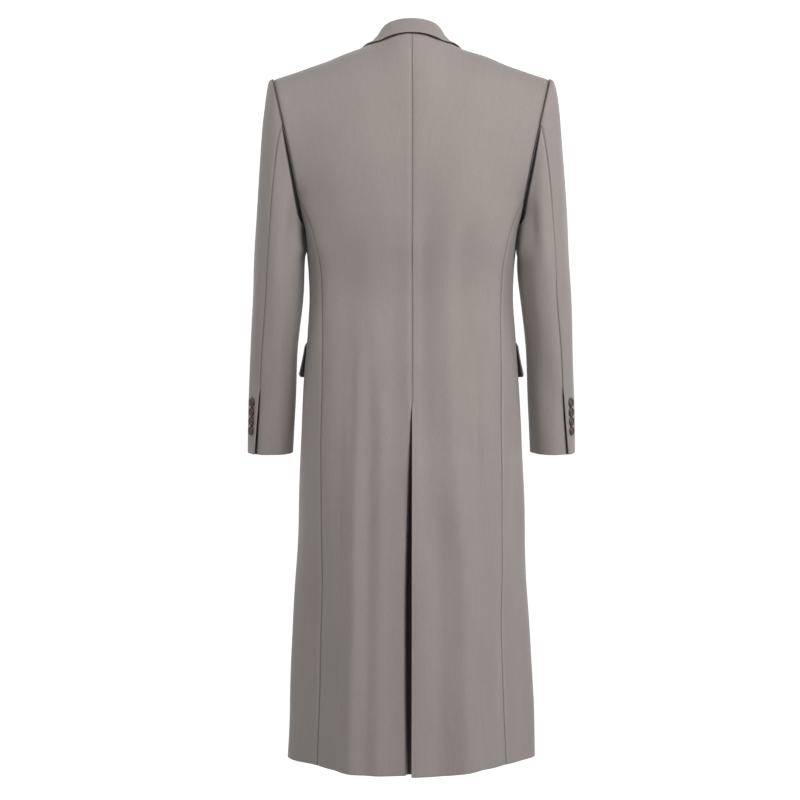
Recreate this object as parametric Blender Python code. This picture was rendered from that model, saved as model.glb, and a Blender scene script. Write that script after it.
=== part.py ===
"""Long tailored overcoat in the form it has when worn, hollow, with its neck, cuffs, hem and back vent open.

The origin is between the shoulders at the base of the neck, where the wearer holds the coat up. +Z is up, the
front faces -Y, and +X is the wearer's left. Every panel is a thin wall over one shared form: level sections below
the armholes, and rounded shoulders above them.
"""

import math

import bpy
import numpy as np

# Cloth and seams
CLOTH = 0.0025  # two plies of coating with canvas between
SEAM_GAP = 0.0003
LAYER = CLOTH + 0.0004  # from one cloth surface to the next one laid on it

# Heights
HEM_Z = -1.197
YOKE_Z = -0.261  # where the side-back and side-front seams run into the armhole
WAIST_Z = -0.418
VENT_TOP_Z = -0.603
BREAK_Z = -0.345  # where the lapel starts to roll
NECK_BACK_Z = 0.0205

# Shoulder and armhole
SHOULDER_HALF = 0.2305
SHOULDER_Z = -0.058
ARMHOLE_LOW_X, ARMHOLE_LOW_Z = 0.181, -0.300
ARMHOLE_BACK, ARMHOLE_FRONT = 0.074, 0.066
ARMHOLE_HOLLOW = 0.003
ARMHOLE_FULLNESS = 0.8
SHOULDER_ROUND = 0.87
NECK_HALF = 0.0625

# Vent: the wearer's right back panel laps over the left one
UNDERLAP = 0.040
VENT_STEP = 0.020  # run over which the underlap leaves the seam
VENT_ROLL = 0.016
VENT_RECESS = 0.007
VENT_LIFT = 0.012
VENT_LIFT_WIDTH = 0.060
VENT_OPENING_RUN = 0.160

# Front: the left one laps over the right one
FRONT_LAP_U = 6.2
FRONT_LAP = 0.021
FRONT_FADE = 0.060
CROSS_FADE = 0.012

# How far the hem hangs above HEM_Z on each side of the coat, by place round it
HEM_RUN = 0.25
HEM_LIFT_COLUMNS = ("u", "left", "right")
HEM_LIFT = (
    (0.0, 0.0, -0.0020),
    (0.7, 0.0, -0.0010),
    (0.9, 0.0005, 0.0015),
    (1.2, 0.0018, 0.0045),
    (1.5, 0.0025, 0.0045),
    (2.0, 0.0020, 0.0030),
    (3.0, 0.0030, 0.0030),
    (6.3, 0.0, 0.0),
)

# Cross-sections of the body. Each row is a height, and the columns are the plan points that one quarter turn of
# the coat passes through: centre back, shoulder blade, side-back seam, side, side-front seam, chest, centre front.
SECTION_COLUMNS = ("z", "back", "blade_x", "blade_y", "seam_x", "seam_y", "side",
                   "fore_x", "fore_y", "chest_x", "chest_y", "front")
SECTIONS = (
    (-0.300, 0.124, 0.098, 0.112, 0.1690, 0.0680, 0.1815, 0.1690, -0.0640, 0.094, -0.117, -0.128),
    (-0.340, 0.120, 0.094, 0.107, 0.1570, 0.0730, 0.1765, 0.1570, -0.0700, 0.092, -0.114, -0.124),
    (-0.378, 0.113, 0.090, 0.101, 0.1503, 0.0690, 0.1720, 0.1500, -0.0660, 0.090, -0.108, -0.118),
    (-0.418, 0.109, 0.088, 0.097, 0.1480, 0.0660, 0.1700, 0.1475, -0.0630, 0.088, -0.104, -0.115),
    (-0.480, 0.113, 0.088, 0.101, 0.1467, 0.0700, 0.1742, 0.1480, -0.0670, 0.088, -0.107, -0.118),
    (-0.560, 0.121, 0.089, 0.109, 0.1480, 0.0745, 0.1800, 0.1500, -0.0720, 0.090, -0.112, -0.123),
    (-0.700, 0.133, 0.092, 0.123, 0.1485, 0.0800, 0.1867, 0.1510, -0.0780, 0.092, -0.120, -0.131),
    (-0.850, 0.144, 0.095, 0.136, 0.1480, 0.0830, 0.1922, 0.1520, -0.0820, 0.094, -0.128, -0.138),
    (-1.030, 0.156, 0.098, 0.149, 0.1490, 0.0850, 0.2015, 0.1540, -0.0850, 0.097, -0.136, -0.146),
    (-1.197, 0.167, 0.101, 0.160, 0.1550, 0.0840, 0.2085, 0.1580, -0.0860, 0.100, -0.144, -0.154),
)
YOKE_SECTION = {"back": 0.1245, "blade_x": 0.101, "blade_y": 0.1135, "side": 0.1960,
                "chest_x": 0.096, "chest_y": -0.119, "front": -0.130}

# Top line of the shoulders, from the middle of the neck outwards; inside NECK_HALF it only shapes the surface
RIDGE_COLUMNS = ("x", "z", "y")
RIDGE = (
    (0.000, 0.0500, -0.004),
    (0.020, 0.0420, -0.004),
    (0.040, 0.0240, -0.003),
    (0.060, 0.0075, -0.001),
    (0.080, -0.0030, 0.0),
    (0.120, -0.0180, 0.0),
    (0.160, -0.0340, 0.0),
    (0.200, -0.0480, 0.0),
    (0.2305, -0.0580, 0.0),
)

# Sleeve rings from the armhole to the cuff: outer and inner points, half depths, middle and tilt of each ring
SLEEVE_COLUMNS = ("ring", "outer_x", "outer_z", "inner_x", "inner_z", "back", "front", "middle_y", "tilt_deg",
                  "back_seam_deg", "front_seam_deg")
SLEEVE = (
    (0.0, 0.2305, -0.0580, 0.1810, -0.3000, 0.0740, 0.0660, 0.0, 0.0, 73.7, 242.0),
    (1.0, 0.2370, -0.0615, 0.1814, -0.3050, 0.0745, 0.0670, 0.0, 0.0, 73.5, 242.0),
    (2.0, 0.2412, -0.0780, 0.1814, -0.3110, 0.0750, 0.0680, 0.0, 0.0, 73.0, 242.0),
    (3.5, 0.2478, -0.1300, 0.1806, -0.3220, 0.0755, 0.0700, 0.0, 0.0, 71.5, 241.0),
    (5.0, 0.2540, -0.2080, 0.1790, -0.3370, 0.0755, 0.0720, 0.0, 0.0, 69.0, 240.0),
    (6.5, 0.2595, -0.2950, 0.1782, -0.3560, 0.0750, 0.0730, 0.0, 0.0, 67.0, 239.0),
    (8.0, 0.2636, -0.3650, 0.1800, -0.3900, 0.0735, 0.0725, -0.001, 0.0, 66.0, 238.0),
    (9.5, 0.2667, -0.4300, 0.1845, -0.4370, 0.0700, 0.0700, -0.006, 1.0, 65.0, 238.0),
    (11.0, 0.2706, -0.5110, 0.1930, -0.5110, 0.0635, 0.0635, -0.018, 3.0, 63.5, 238.0),
    (12.5, 0.2751, -0.5950, 0.1972, -0.5950, 0.0575, 0.0575, -0.033, 4.5, 62.0, 238.0),
    (14.0, 0.2778, -0.6820, 0.2029, -0.6820, 0.0530, 0.0530, -0.045, 4.5, 57.0, 238.0),
)

# Collar sections from the centre back to its front end: the seam under it, its fold and its outer edge
COLLAR_COLUMNS = ("run", "seam_x", "seam_y", "seam_z", "fold_x", "fold_y", "fold_z", "edge_x", "edge_y", "edge_z")
COLLAR = (
    (0.0, 0.0000, 0.0560, 0.0200, 0.0000, 0.0370, 0.0398, 0.0000, 0.0672, 0.0136),
    (0.2, 0.0215, 0.0510, 0.0195, 0.0200, 0.0340, 0.0380, 0.0237, 0.0635, 0.0090),
    (0.4, 0.0430, 0.0360, 0.0170, 0.0362, 0.0240, 0.0328, 0.0470, 0.0500, 0.0042),
    (0.55, 0.0535, 0.0190, 0.0130, 0.0455, 0.0080, 0.0268, 0.0645, 0.0260, 0.0008),
    (0.7, 0.0580, -0.0020, 0.0080, 0.0530, -0.0120, 0.0180, 0.0780, -0.0010, 0.0012),
    (0.85, 0.0560, -0.0330, -0.0020, 0.0580, -0.0420, 0.0030, 0.0970, -0.0440, -0.0160),
    (0.95, 0.0515, -0.0560, -0.0215, 0.0555, -0.0670, -0.0195, 0.1130, -0.0685, -0.0425),
    (1.0, 0.0480, -0.0700, -0.0355, 0.0515, -0.0820, -0.0365, 0.0980, -0.0855, -0.0640),
)

# Lapel from the break up to the gorge: its outer edge as seen from the front
LAPEL_COLUMNS = ("rise", "edge_x", "edge_z")
LAPEL = (
    (0.0, -0.0160, -0.340),
    (0.3, 0.0300, -0.262),
    (0.6, 0.0740, -0.184),
    (0.85, 0.1080, -0.117),
    (1.0, 0.1260, -0.0820),
)
GORGE_Z = -0.0400
LAPEL_CLOTH = 0.0022
LAPEL_LIE = 0.0028  # height of the lapel's face over the front where it lies flat
LAPEL_ROLL = 0.0040
LAPEL_ROLL_OUT = 0.0032
LAPEL_RIGHT_START = 0.17
LAPEL_END = 0.004  # distance of the lapel's foot from the break, and of its head from the gorge
LAPEL_CLEAR = 0.0009  # room between the right lapel and the edge of the left front
LAPEL_TURN = (1.0, 0.80, 0.35)  # steps of the roll round the front's edge, and how far each lies off the front
LAPEL_TURN_OFF = (-0.0016, 0.0022, 0.0042)
COLLAR_CLOTH = 0.0020
COLLAR_TURN = 0.0030  # radius of the fold at the top of the collar
COLLAR_SWELL = (0.0010, 0.0014)  # how far the fall is rounded out on its way up to the fold
COLLAR_FLAT = 0.0002
COLLAR_FRONT = 0.85  # from this run on the collar's columns are closer together

# Flaps, one at each hip
FLAP_TOP_Z, FLAP_LOW_Z = -0.499, -0.5555
FLAP_FROM_U, FLAP_TO_U = 3.02, 4.90
FLAP_STAND, FLAP_FLARE = 0.0034, 0.0062
FLAP_CORNER = 0.007
FLAP_CORNER_U = 0.16
FLAP_REAR_U = 1.2  # run over which the flare dies down towards the front
FLAP_FRONT_SHARE = 0.35
FLAP_CLOTH = 0.0022

# Buttons
CUFF_BUTTON = 0.0155
CUFF_BUTTON_THICK = 0.0036
CUFF_BUTTONS = 4
CUFF_BUTTON_PITCH = 0.0158
CUFF_BUTTON_TOP_Z = -0.5975
CUFF_BUTTON_DEG = 40.0
FRONT_BUTTON = 0.026
FRONT_BUTTON_THICK = 0.0050
FRONT_BUTTON_HEIGHTS = (-0.362, -0.482, -0.602)
CUFF_BUTTON_SEAT, FRONT_BUTTON_SEAT = 0.0004, 0.0009
BUTTON_SIDES = 14
BUTTON_PROFILE = (  # from the middle of the back to the middle of the face, as shares of radius and thickness
    (0.0, 0.0), (0.55, 0.0), (0.86, 0.22), (1.0, 0.55), (0.97, 0.86), (0.86, 1.0), (0.70, 0.92), (0.58, 0.66),
    (0.0, 0.62),
)

# How finely each wall is divided
BODY_ROWS = (-1.197, -1.155, -1.09, -1.01, -0.93, -0.85, -0.77, -0.70, -0.655, -0.623, -0.603, -0.57, -0.53,
             -0.48, -0.44, -0.40, -0.36, -0.32, -0.29, -0.261)
BACK_U = (0.0, 0.08, 0.16, 0.35, 0.55, 0.78, 1.0, 1.22, 1.48, 1.74, 2.0)
SIDE_COLUMNS = 7
FRONT_STEPS = (0.0, 0.055, 0.11, 0.22, 0.33, 0.44, 0.55, 0.66, 0.77, 0.88, 1.0)
SHOULDER_ROWS = 9
SLEEVE_RINGS = 16
LAPEL_ROWS, LAPEL_STEPS = 10, 5
COLLAR_RUNS = 13

CLOTH_COLOUR = (0.30, 0.27, 0.25, 1.0)
HORN_COLOUR = (0.075, 0.045, 0.030, 1.0)


class Smooth:
    """A smooth curve through the values at rising knots."""

    def __init__(self, knots, values):
        order = np.argsort(knots)
        self.knots = np.asarray(knots, float)[order]
        self.values = np.asarray(values, float)[order]
        self.slopes = np.gradient(self.values, self.knots, axis=0)

    def __call__(self, at):
        at = np.asarray(at, float)
        last = len(self.knots) - 2
        low = np.clip(np.searchsorted(self.knots, at, side="right") - 1, 0, last)
        step = self.knots[low + 1] - self.knots[low]
        part = (at - self.knots[low]) / step
        if self.values.ndim > 1:
            step, part = step[..., None], part[..., None]
        h_low = (1 + 2 * part) * (1 - part) ** 2
        h_high = part**2 * (3 - 2 * part)
        s_low = part * (1 - part) ** 2 * step
        s_high = part**2 * (part - 1) * step
        return (h_low * self.values[low] + h_high * self.values[low + 1]
                + s_low * self.slopes[low] + s_high * self.slopes[low + 1])


def ease(part):
    """0 to 1 with level ends."""
    part = np.clip(part, 0.0, 1.0)
    return part * part * (3 - 2 * part)


def unit(vectors):
    return vectors / np.linalg.norm(vectors, axis=-1, keepdims=True)


def point(x, y, z):
    """One array of points from coordinates of any shapes that fit together."""
    return np.stack(np.broadcast_arrays(x, y, z), axis=-1).astype(float)


def armhole(degrees):
    """Points of the left armhole: 0 at the shoulder, 90 at the back, 180 under the arm, 270 at the front."""
    turn = np.radians(degrees)
    fall = (1 - np.cos(turn)) / 2
    across = np.sin(turn)
    depth = np.where(across > 0, ARMHOLE_BACK, ARMHOLE_FRONT)
    return point(
        SHOULDER_HALF + (ARMHOLE_LOW_X - SHOULDER_HALF) * fall - ARMHOLE_HOLLOW * across**2,
        depth * np.sign(across) * np.abs(across) ** ARMHOLE_FULLNESS,
        SHOULDER_Z + (ARMHOLE_LOW_Z - SHOULDER_Z) * fall,
    )


YOKE_FALL = (SHOULDER_Z - YOKE_Z) / (SHOULDER_Z - ARMHOLE_LOW_Z)
YOKE_DEG = math.degrees(math.acos(1 - 2 * YOKE_FALL))
BACK_DEG = np.linspace(YOKE_DEG, 0.0, SHOULDER_ROWS + 1)
SIDE_DEG = np.linspace(YOKE_DEG, 360.0 - YOKE_DEG, SIDE_COLUMNS)
FRONT_DEG = 360.0 - BACK_DEG
ARMHOLE_DEG = np.concatenate([BACK_DEG[::-1], SIDE_DEG[1:], FRONT_DEG[1:-1]])


def section_splines():
    """One smooth curve up the coat for each column of SECTIONS, with the armhole's own points at the top."""
    yoke = dict(YOKE_SECTION)
    back, fore = armhole(YOKE_DEG), armhole(360.0 - YOKE_DEG)
    yoke.update(z=YOKE_Z, seam_x=back[0], seam_y=back[1], fore_x=fore[0], fore_y=fore[1])
    rows = [dict(zip(SECTION_COLUMNS, row)) for row in SECTIONS] + [yoke]
    heights = [row["z"] for row in rows]
    return {name: Smooth(heights, [row[name] for row in rows]) for name in SECTION_COLUMNS[1:]}


SECTION = section_splines()
RIDGE_X, RIDGE_Z, RIDGE_Y = ([row[RIDGE_COLUMNS.index(name)] for row in RIDGE] for name in ("x", "z", "y"))
RIDGE_Z, RIDGE_Y = Smooth(RIDGE_X, RIDGE_Z), Smooth(RIDGE_X, RIDGE_Y)


def plan_points(z):
    """The plan points of a section from centre back (0) to centre front (6), with one mirrored point at each end."""
    z = np.asarray(z, float)
    level = {name: curve(z) for name, curve in SECTION.items()}
    zero = np.zeros_like(z)
    places = (
        (-level["blade_x"], level["blade_y"]),
        (zero, level["back"]),
        (level["blade_x"], level["blade_y"]),
        (level["seam_x"], level["seam_y"]),
        (level["side"], zero),
        (level["fore_x"], level["fore_y"]),
        (level["chest_x"], level["chest_y"]),
        (zero, level["front"]),
        (-level["chest_x"], level["chest_y"]),
        (-level["fore_x"], level["fore_y"]),
    )
    return np.stack([np.stack(place, axis=-1) for place in places])


def ring(u, z):
    """The form below the armholes: u runs from 0 at the centre back to 6 at the centre front."""
    u, z = np.broadcast_arrays(np.asarray(u, float), np.asarray(z, float))
    places = plan_points(z)
    low = np.clip(np.floor(u).astype(int), 0, 6)
    part = (u - low)[..., None]
    before, start, end, after = (
        np.take_along_axis(places, (low + k)[None, ..., None].clip(0, len(places) - 1), axis=0)[0]
        for k in range(4)
    )
    leave, arrive = (end - before) / 2, (after - start) / 2
    plan = ((1 + 2 * part) * (1 - part) ** 2 * start + part**2 * (3 - 2 * part) * end
            + part * (1 - part) ** 2 * leave + part**2 * (part - 1) * arrive)
    return point(plan[..., 0], plan[..., 1], z)


def rounded(face, s, rise):
    """Shoulder form before it is fitted to the armhole. face is 1 for the back and -1 for the front."""
    u = 2 * s if face > 0 else 6 - 2 * s
    low = ring(u, YOKE_Z)
    top_x = SHOULDER_HALF * s
    top_z, top_y = RIDGE_Z(np.abs(top_x)), RIDGE_Y(np.abs(top_x))
    up, out = np.sin(rise), np.clip(np.cos(rise), 0.0, 1.0) ** SHOULDER_ROUND
    return point(
        low[..., 0] + (top_x - low[..., 0]) * up,
        top_y + (low[..., 1] - top_y) * out,
        YOKE_Z + (top_z - YOKE_Z) * up,
    )


def shoulder(face, s, rise):
    """The form above the armholes: s from 0 at the middle to 1 at the armhole, rise from 0 to a right angle."""
    s, rise = np.broadcast_arrays(np.asarray(s, float), np.asarray(rise, float))
    turn = YOKE_DEG * (1 - rise / (math.pi / 2))
    edge = armhole(turn if face > 0 else 360.0 - turn)
    fit = edge - rounded(face, np.ones_like(s), rise)
    return rounded(face, s, rise) + np.clip(s, 0.0, None)[..., None] ** 3 * fit


STEP = 1e-4


def ring_normal(u, z):
    along = ring(u + STEP, z) - ring(u - STEP, z)
    up = ring(u, z + STEP) - ring(u, z - STEP)
    return unit(np.cross(up, along))


def shoulder_normal(face, s, rise):
    low = np.clip(rise - 20 * STEP, 0.0, None)
    along = shoulder(face, s + STEP, rise) - shoulder(face, s - STEP, rise)
    up = shoulder(face, s, np.maximum(rise, 20 * STEP)) - shoulder(face, s, low)
    return unit(np.cross(up, along) * face)


def front_at(x, z, off=0.0):
    """Point of the left front's form at a place seen from the front, moved out by off."""
    x, z = np.broadcast_arrays(np.asarray(x, float), np.asarray(z, float))
    s = x / 0.21
    for _ in range(12):
        above = z > YOKE_Z
        span = RIDGE_Z(np.abs(SHOULDER_HALF * s)) - YOKE_Z
        rise = np.arcsin(np.clip((z - YOKE_Z) / span, 0.0, 0.9999))
        here = np.where(above[..., None], shoulder(-1, s, rise), ring(6 - 2 * s, np.minimum(z, YOKE_Z)))
        s = s + (x - here[..., 0]) / 0.21
    normal = np.where(above[..., None], shoulder_normal(-1, s, rise), ring_normal(6 - 2 * s, np.minimum(z, YOKE_Z)))
    return here + normal * np.asarray(off)[..., None], normal


def roll_x(z):
    """The lapel's roll line, straight as seen from the front."""
    return np.interp(z, (BREAK_Z, RIDGE_Z(NECK_HALF)), (-FRONT_LAP, NECK_HALF))


CROSS_Z = float(np.interp(0.0, (-FRONT_LAP, NECK_HALF), (BREAK_Z, RIDGE_Z(NECK_HALF))))


def pulled_in(points, sides):
    """Moves the named sides of a grid of points into the panel by half of the gap that a seam keeps."""
    out = points.copy()
    half = SEAM_GAP / 2
    if "first" in sides:
        out[:, 0] += unit(points[:, 1] - points[:, 0]) * half
    if "last" in sides:
        out[:, -1] += unit(points[:, -2] - points[:, -1]) * half
    if "top" in sides:
        out[-1] += unit(points[-2] - points[-1]) * half
    if "foot" in sides:
        out[0] += unit(points[1] - points[0]) * half
    return out


def material(name, colour, roughness):
    made = bpy.data.materials.new(name)
    made.use_nodes = True
    shader = made.node_tree.nodes["Principled BSDF"]
    shader.inputs["Base Color"].default_value = colour
    shader.inputs["Roughness"].default_value = roughness
    shader.inputs["Metallic"].default_value = 0.0
    made.diffuse_color = colour
    return made


def add_object(name, points, faces, finish):
    mesh = bpy.data.meshes.new(name)
    mesh.from_pydata([tuple(p) for p in points], [], faces)
    mesh.materials.append(finish)
    mesh.shade_smooth()
    mesh.set_sharp_from_angle(angle=math.radians(50))
    made = bpy.data.objects.new(name, mesh)
    bpy.context.scene.collection.objects.link(made)
    return made


def wall(name, outer, normals, finish, thick=CLOTH, used=None, mirrored=False):
    """A closed wall: a grid of outer points, the same grid moved in along the normals, and a rim round its edge."""
    rows, columns = outer.shape[:2]
    if used is None:
        used = np.ones((rows - 1, columns - 1), bool)
    inner = outer - normals * thick
    points = np.concatenate([outer.reshape(-1, 3), inner.reshape(-1, 3)])
    if mirrored:
        points = points * np.array([-1.0, 1.0, 1.0])
    shift = rows * columns
    faces, edges = [], {}
    for r in range(rows - 1):
        for c in range(columns - 1):
            if not used[r, c]:
                continue
            a = r * columns + c
            quad = (a, a + 1, a + 1 + columns, a + columns)
            faces.append(quad)
            faces.append(tuple(k + shift for k in reversed(quad)))
            for start, end in zip(quad, quad[1:] + quad[:1]):
                edges[(start, end)] = True
    for start, end in edges:
        if (end, start) not in edges:
            faces.append((end, start, start + shift, end + shift))
    out_way = np.cross(outer[0, 1] - outer[0, 0], outer[1, 0] - outer[0, 0])
    if (np.dot(out_way, normals[0, 0]) < 0) != mirrored:
        faces = [tuple(reversed(face)) for face in faces]
    needed = sorted({k for face in faces for k in face})
    place = {old: new for new, old in enumerate(needed)}
    faces = [tuple(place[k] for k in face) for face in faces]
    return add_object(name, points[needed], faces, finish)


HEM_LINE = {
    side: Smooth([row[0] for row in HEM_LIFT], [row[HEM_LIFT_COLUMNS.index(side)] for row in HEM_LIFT])
    for side in ("left", "right")
}


def hem_lift(u, z, right):
    """The wearer's right side hangs a little lower at the vent, and both a little higher at the side."""
    low = ease((HEM_Z + HEM_RUN - z) / HEM_RUN)
    return low * HEM_LINE["right" if right else "left"](u)


def body_points(u, z, right):
    points = ring(u, z)
    points[..., 2] += hem_lift(u, z, right)
    return points


def vent_open(z):
    """How far the vent has opened at a height, from 0 at its top to 1."""
    return ease((VENT_TOP_Z - z) / VENT_OPENING_RUN) ** 0.7


def back_panel(name, finish, right):
    """Back from the hem to the shoulder seam and neck. The right one stands proud at the vent; the left one turns
    in there and goes on under it as an underlap."""
    u = np.array(BACK_U)
    z = np.array(BODY_ROWS)
    grid_u, grid_z = np.meshgrid(u, z)
    low = body_points(grid_u, grid_z, right)
    low_normal = ring_normal(grid_u, grid_z)
    s = u / 2
    neck_s = NECK_HALF / SHOULDER_HALF
    neck_rise = math.asin((NECK_BACK_Z - YOKE_Z) / (RIDGE_Z(0.0) - YOKE_Z))
    top = neck_rise + (math.pi / 2 - neck_rise) * np.clip(s / neck_s, 0.0, 1.0) ** 2
    parts = np.linspace(0.0, 1.0, SHOULDER_ROWS + 1)[1:]
    rise = parts[:, None] * top[None, :]
    high = shoulder(1, s[None, :], rise)
    high_normal = shoulder_normal(1, s[None, :], rise)
    points = np.concatenate([low, high])
    normals = np.concatenate([low_normal, high_normal])
    opened = np.concatenate([vent_open(z), np.zeros(SHOULDER_ROWS)])[:, None]
    x = points[..., 0]
    if right:
        off = VENT_LIFT * opened * (1 - ease(x / VENT_LIFT_WIDTH))
    else:
        shut = ease(np.concatenate([(VENT_TOP_Z - z) / VENT_STEP, np.zeros(SHOULDER_ROWS)]))[:, None]
        off = -(LAYER * shut + (VENT_RECESS - LAYER) * opened) * (1 - ease(x / VENT_ROLL))
    points = pulled_in(points + normals * off[..., None], ("first", "last", "top"))
    if right:
        return wall(name, points, normals, finish, mirrored=True)
    lap = -np.linspace(1.0, 1 / 3, 3)[None, :] * UNDERLAP
    lap_u = lap / SECTION["blade_x"](z)[:, None]
    lap_low = ring(np.abs(lap_u), z[:, None])
    lap_normal = ring_normal(np.abs(lap_u), z[:, None]) * np.array([-1.0, 1.0, 1.0])
    lap_low[..., 0] *= -1
    depth = (LAYER * shut + (VENT_RECESS - LAYER) * opened)[: len(z)]
    lap_low = lap_low - lap_normal * depth[..., None]
    blank = np.zeros((SHOULDER_ROWS, 3, 3)) + points[len(z):, :1]
    points = np.concatenate([np.concatenate([lap_low, blank]), points], axis=1)
    normals = np.concatenate([np.concatenate([lap_normal, blank * 0 + normals[len(z):, :1]]), normals], axis=1)
    used = np.ones((points.shape[0] - 1, points.shape[1] - 1), bool)
    used[np.searchsorted(z, VENT_TOP_Z - VENT_STEP + 0.001) - 1:, :3] = False
    return wall(name, points[::-1], normals[::-1], finish, used=used[::-1])


def side_panel(name, finish, right):
    """Panel under the arm, from the hem to the lower curve of the armhole."""
    u = np.linspace(2.0, 4.0, SIDE_COLUMNS)
    z = np.array(BODY_ROWS)
    edge = armhole(SIDE_DEG)
    part = np.clip((z - WAIST_Z) / (YOKE_Z - WAIST_Z), 0.0, 1.0)[:, None]
    reach = np.where(part > 0, WAIST_Z + part * (edge[None, :, 2] - WAIST_Z), z[:, None])
    grid_u = np.broadcast_to(u, reach.shape)
    points = body_points(grid_u, reach, right)
    normals = ring_normal(grid_u, reach)
    points = points + part[..., None] ** 2 * (edge - points[-1])[None]
    points = pulled_in(points, ("first", "last"))
    return wall(name, points, normals, finish, mirrored=right)


def front_panel(name, finish, right):
    """Front from the hem to the shoulder, cut away along the roll line. The right one lies under the left one."""
    z = np.array(BODY_ROWS)
    steps = np.array(FRONT_STEPS)
    samples = np.linspace(-0.12, 1.0, 225)  # places across the front, from beyond the middle to the side seam
    edge_s = np.empty(len(z))
    for k, height in enumerate(z):
        x = ring(6 - 2 * samples, height)[:, 0]
        inner = roll_x(height) if height > BREAK_Z else x[np.argmin(np.abs(samples - (6 - FRONT_LAP_U) / 2))]
        edge_s[k] = np.interp(inner, x, samples)
    s = edge_s[:, None] + (1 - edge_s[:, None]) * steps
    low = body_points(6 - 2 * s, z[:, None], right)
    low_normal = ring_normal(6 - 2 * s, z[:, None])
    rises = np.linspace(0.0, math.pi / 2, SHOULDER_ROWS + 1)[1:]
    rows, row_normals = [], []
    for rise in rises:
        line = shoulder(-1, samples, rise)
        at = np.interp(0.0, line[:, 0] - roll_x(line[:, 2]), samples)
        s = at + (1 - at) * steps
        rows.append(shoulder(-1, s, np.full_like(s, rise)))
        row_normals.append(shoulder_normal(-1, s, np.full_like(s, rise)))
    points = np.concatenate([low, np.stack(rows)])
    normals = np.concatenate([low_normal, np.stack(row_normals)])
    if right:
        under = ease((CROSS_Z + CROSS_FADE - points[..., 2]) / CROSS_FADE)
        off = -LAYER * under * (1 - ease((points[..., 0] - FRONT_LAP) / FRONT_FADE))
        points = points + normals * off[..., None]
    points = pulled_in(points, ("last", "top"))
    return wall(name, points, normals, finish, mirrored=right)


def sleeve_table():
    rows = [dict(zip(SLEEVE_COLUMNS, row)) for row in SLEEVE]
    at = [row["ring"] for row in rows]
    return {name: Smooth(at, [row[name] for row in rows]) for name in SLEEVE_COLUMNS[1:]}


SLEEVE_LINE = sleeve_table()
ARMHOLE_OUT = unit(np.array([SHOULDER_Z - ARMHOLE_LOW_Z, 0.0, -(SHOULDER_HALF - ARMHOLE_LOW_X)]))


def sleeve_point(at, degrees):
    """Point of the left sleeve: at is its ring, degrees are those of the armhole."""
    at, degrees = np.broadcast_arrays(np.asarray(at, float), np.asarray(degrees, float))
    level = {name: curve(at) for name, curve in SLEEVE_LINE.items()}
    turn = np.radians(degrees)
    fall = (1 - np.cos(turn)) / 2
    across = np.sin(turn)
    depth = np.where(across > 0, level["back"], level["front"])
    loose = ease(at / 6.0)
    full = ARMHOLE_FULLNESS + (0.95 - ARMHOLE_FULLNESS) * loose
    y = depth * np.sign(across) * np.abs(across) ** full
    x = level["outer_x"] + (level["inner_x"] - level["outer_x"]) * fall
    z = level["outer_z"] + (level["inner_z"] - level["outer_z"]) * fall
    x = x - ARMHOLE_HOLLOW * (1 - loose) * across**2
    z = z - np.tan(np.radians(level["tilt_deg"])) * y
    off = SEAM_GAP * (1 - ease(at / 1.0))
    return point(x, y + level["middle_y"], z) + off[..., None] * ARMHOLE_OUT


def sleeve_degrees(at):
    """Where the columns that start at ARMHOLE_DEG lie on a ring, so that both seams follow their own lines."""
    start = (0.0, ARMHOLE_DEG[5], 180.0, ARMHOLE_DEG[-8], 360.0)
    here = (0.0, float(SLEEVE_LINE["back_seam_deg"](at)), 180.0, float(SLEEVE_LINE["front_seam_deg"](at)), 360.0)
    return np.interp(np.append(ARMHOLE_DEG, 360.0), start, here)


def sleeve_grid():
    rings = np.concatenate([np.linspace(0.0, 2.0, 5), np.linspace(2.0, 14.0, SLEEVE_RINGS - 4)[1:]])
    degrees = np.stack([sleeve_degrees(at) for at in rings])
    at = np.broadcast_to(rings[:, None], degrees.shape)
    points = sleeve_point(at, degrees)
    high, low = np.clip(at + STEP * 10, 0, 14.0), np.clip(at - STEP * 10, 0, 14.0)
    along = sleeve_point(high, degrees) - sleeve_point(low, degrees)
    around = sleeve_point(at, degrees + 0.05) - sleeve_point(at, degrees - 0.05)
    return points, unit(np.cross(along, around))


def sleeve_panels(finish, right):
    """Top sleeve over the outside of the arm, and under sleeve inside it, between the back and the front seam."""
    side = "right" if right else "left"
    points, normals = sleeve_grid()
    back, front = 5, len(ARMHOLE_DEG) - 8
    around = list(range(front, len(ARMHOLE_DEG))) + list(range(0, back + 1))
    top = pulled_in(points[:, around], ("first", "last"))
    wall(f"sleeve_top_{side}", top, normals[:, around], finish, mirrored=right)
    under = pulled_in(points[:, back:front + 1], ("first", "last"))
    wall(f"sleeve_under_{side}", under, normals[:, back:front + 1], finish, mirrored=right)


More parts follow.
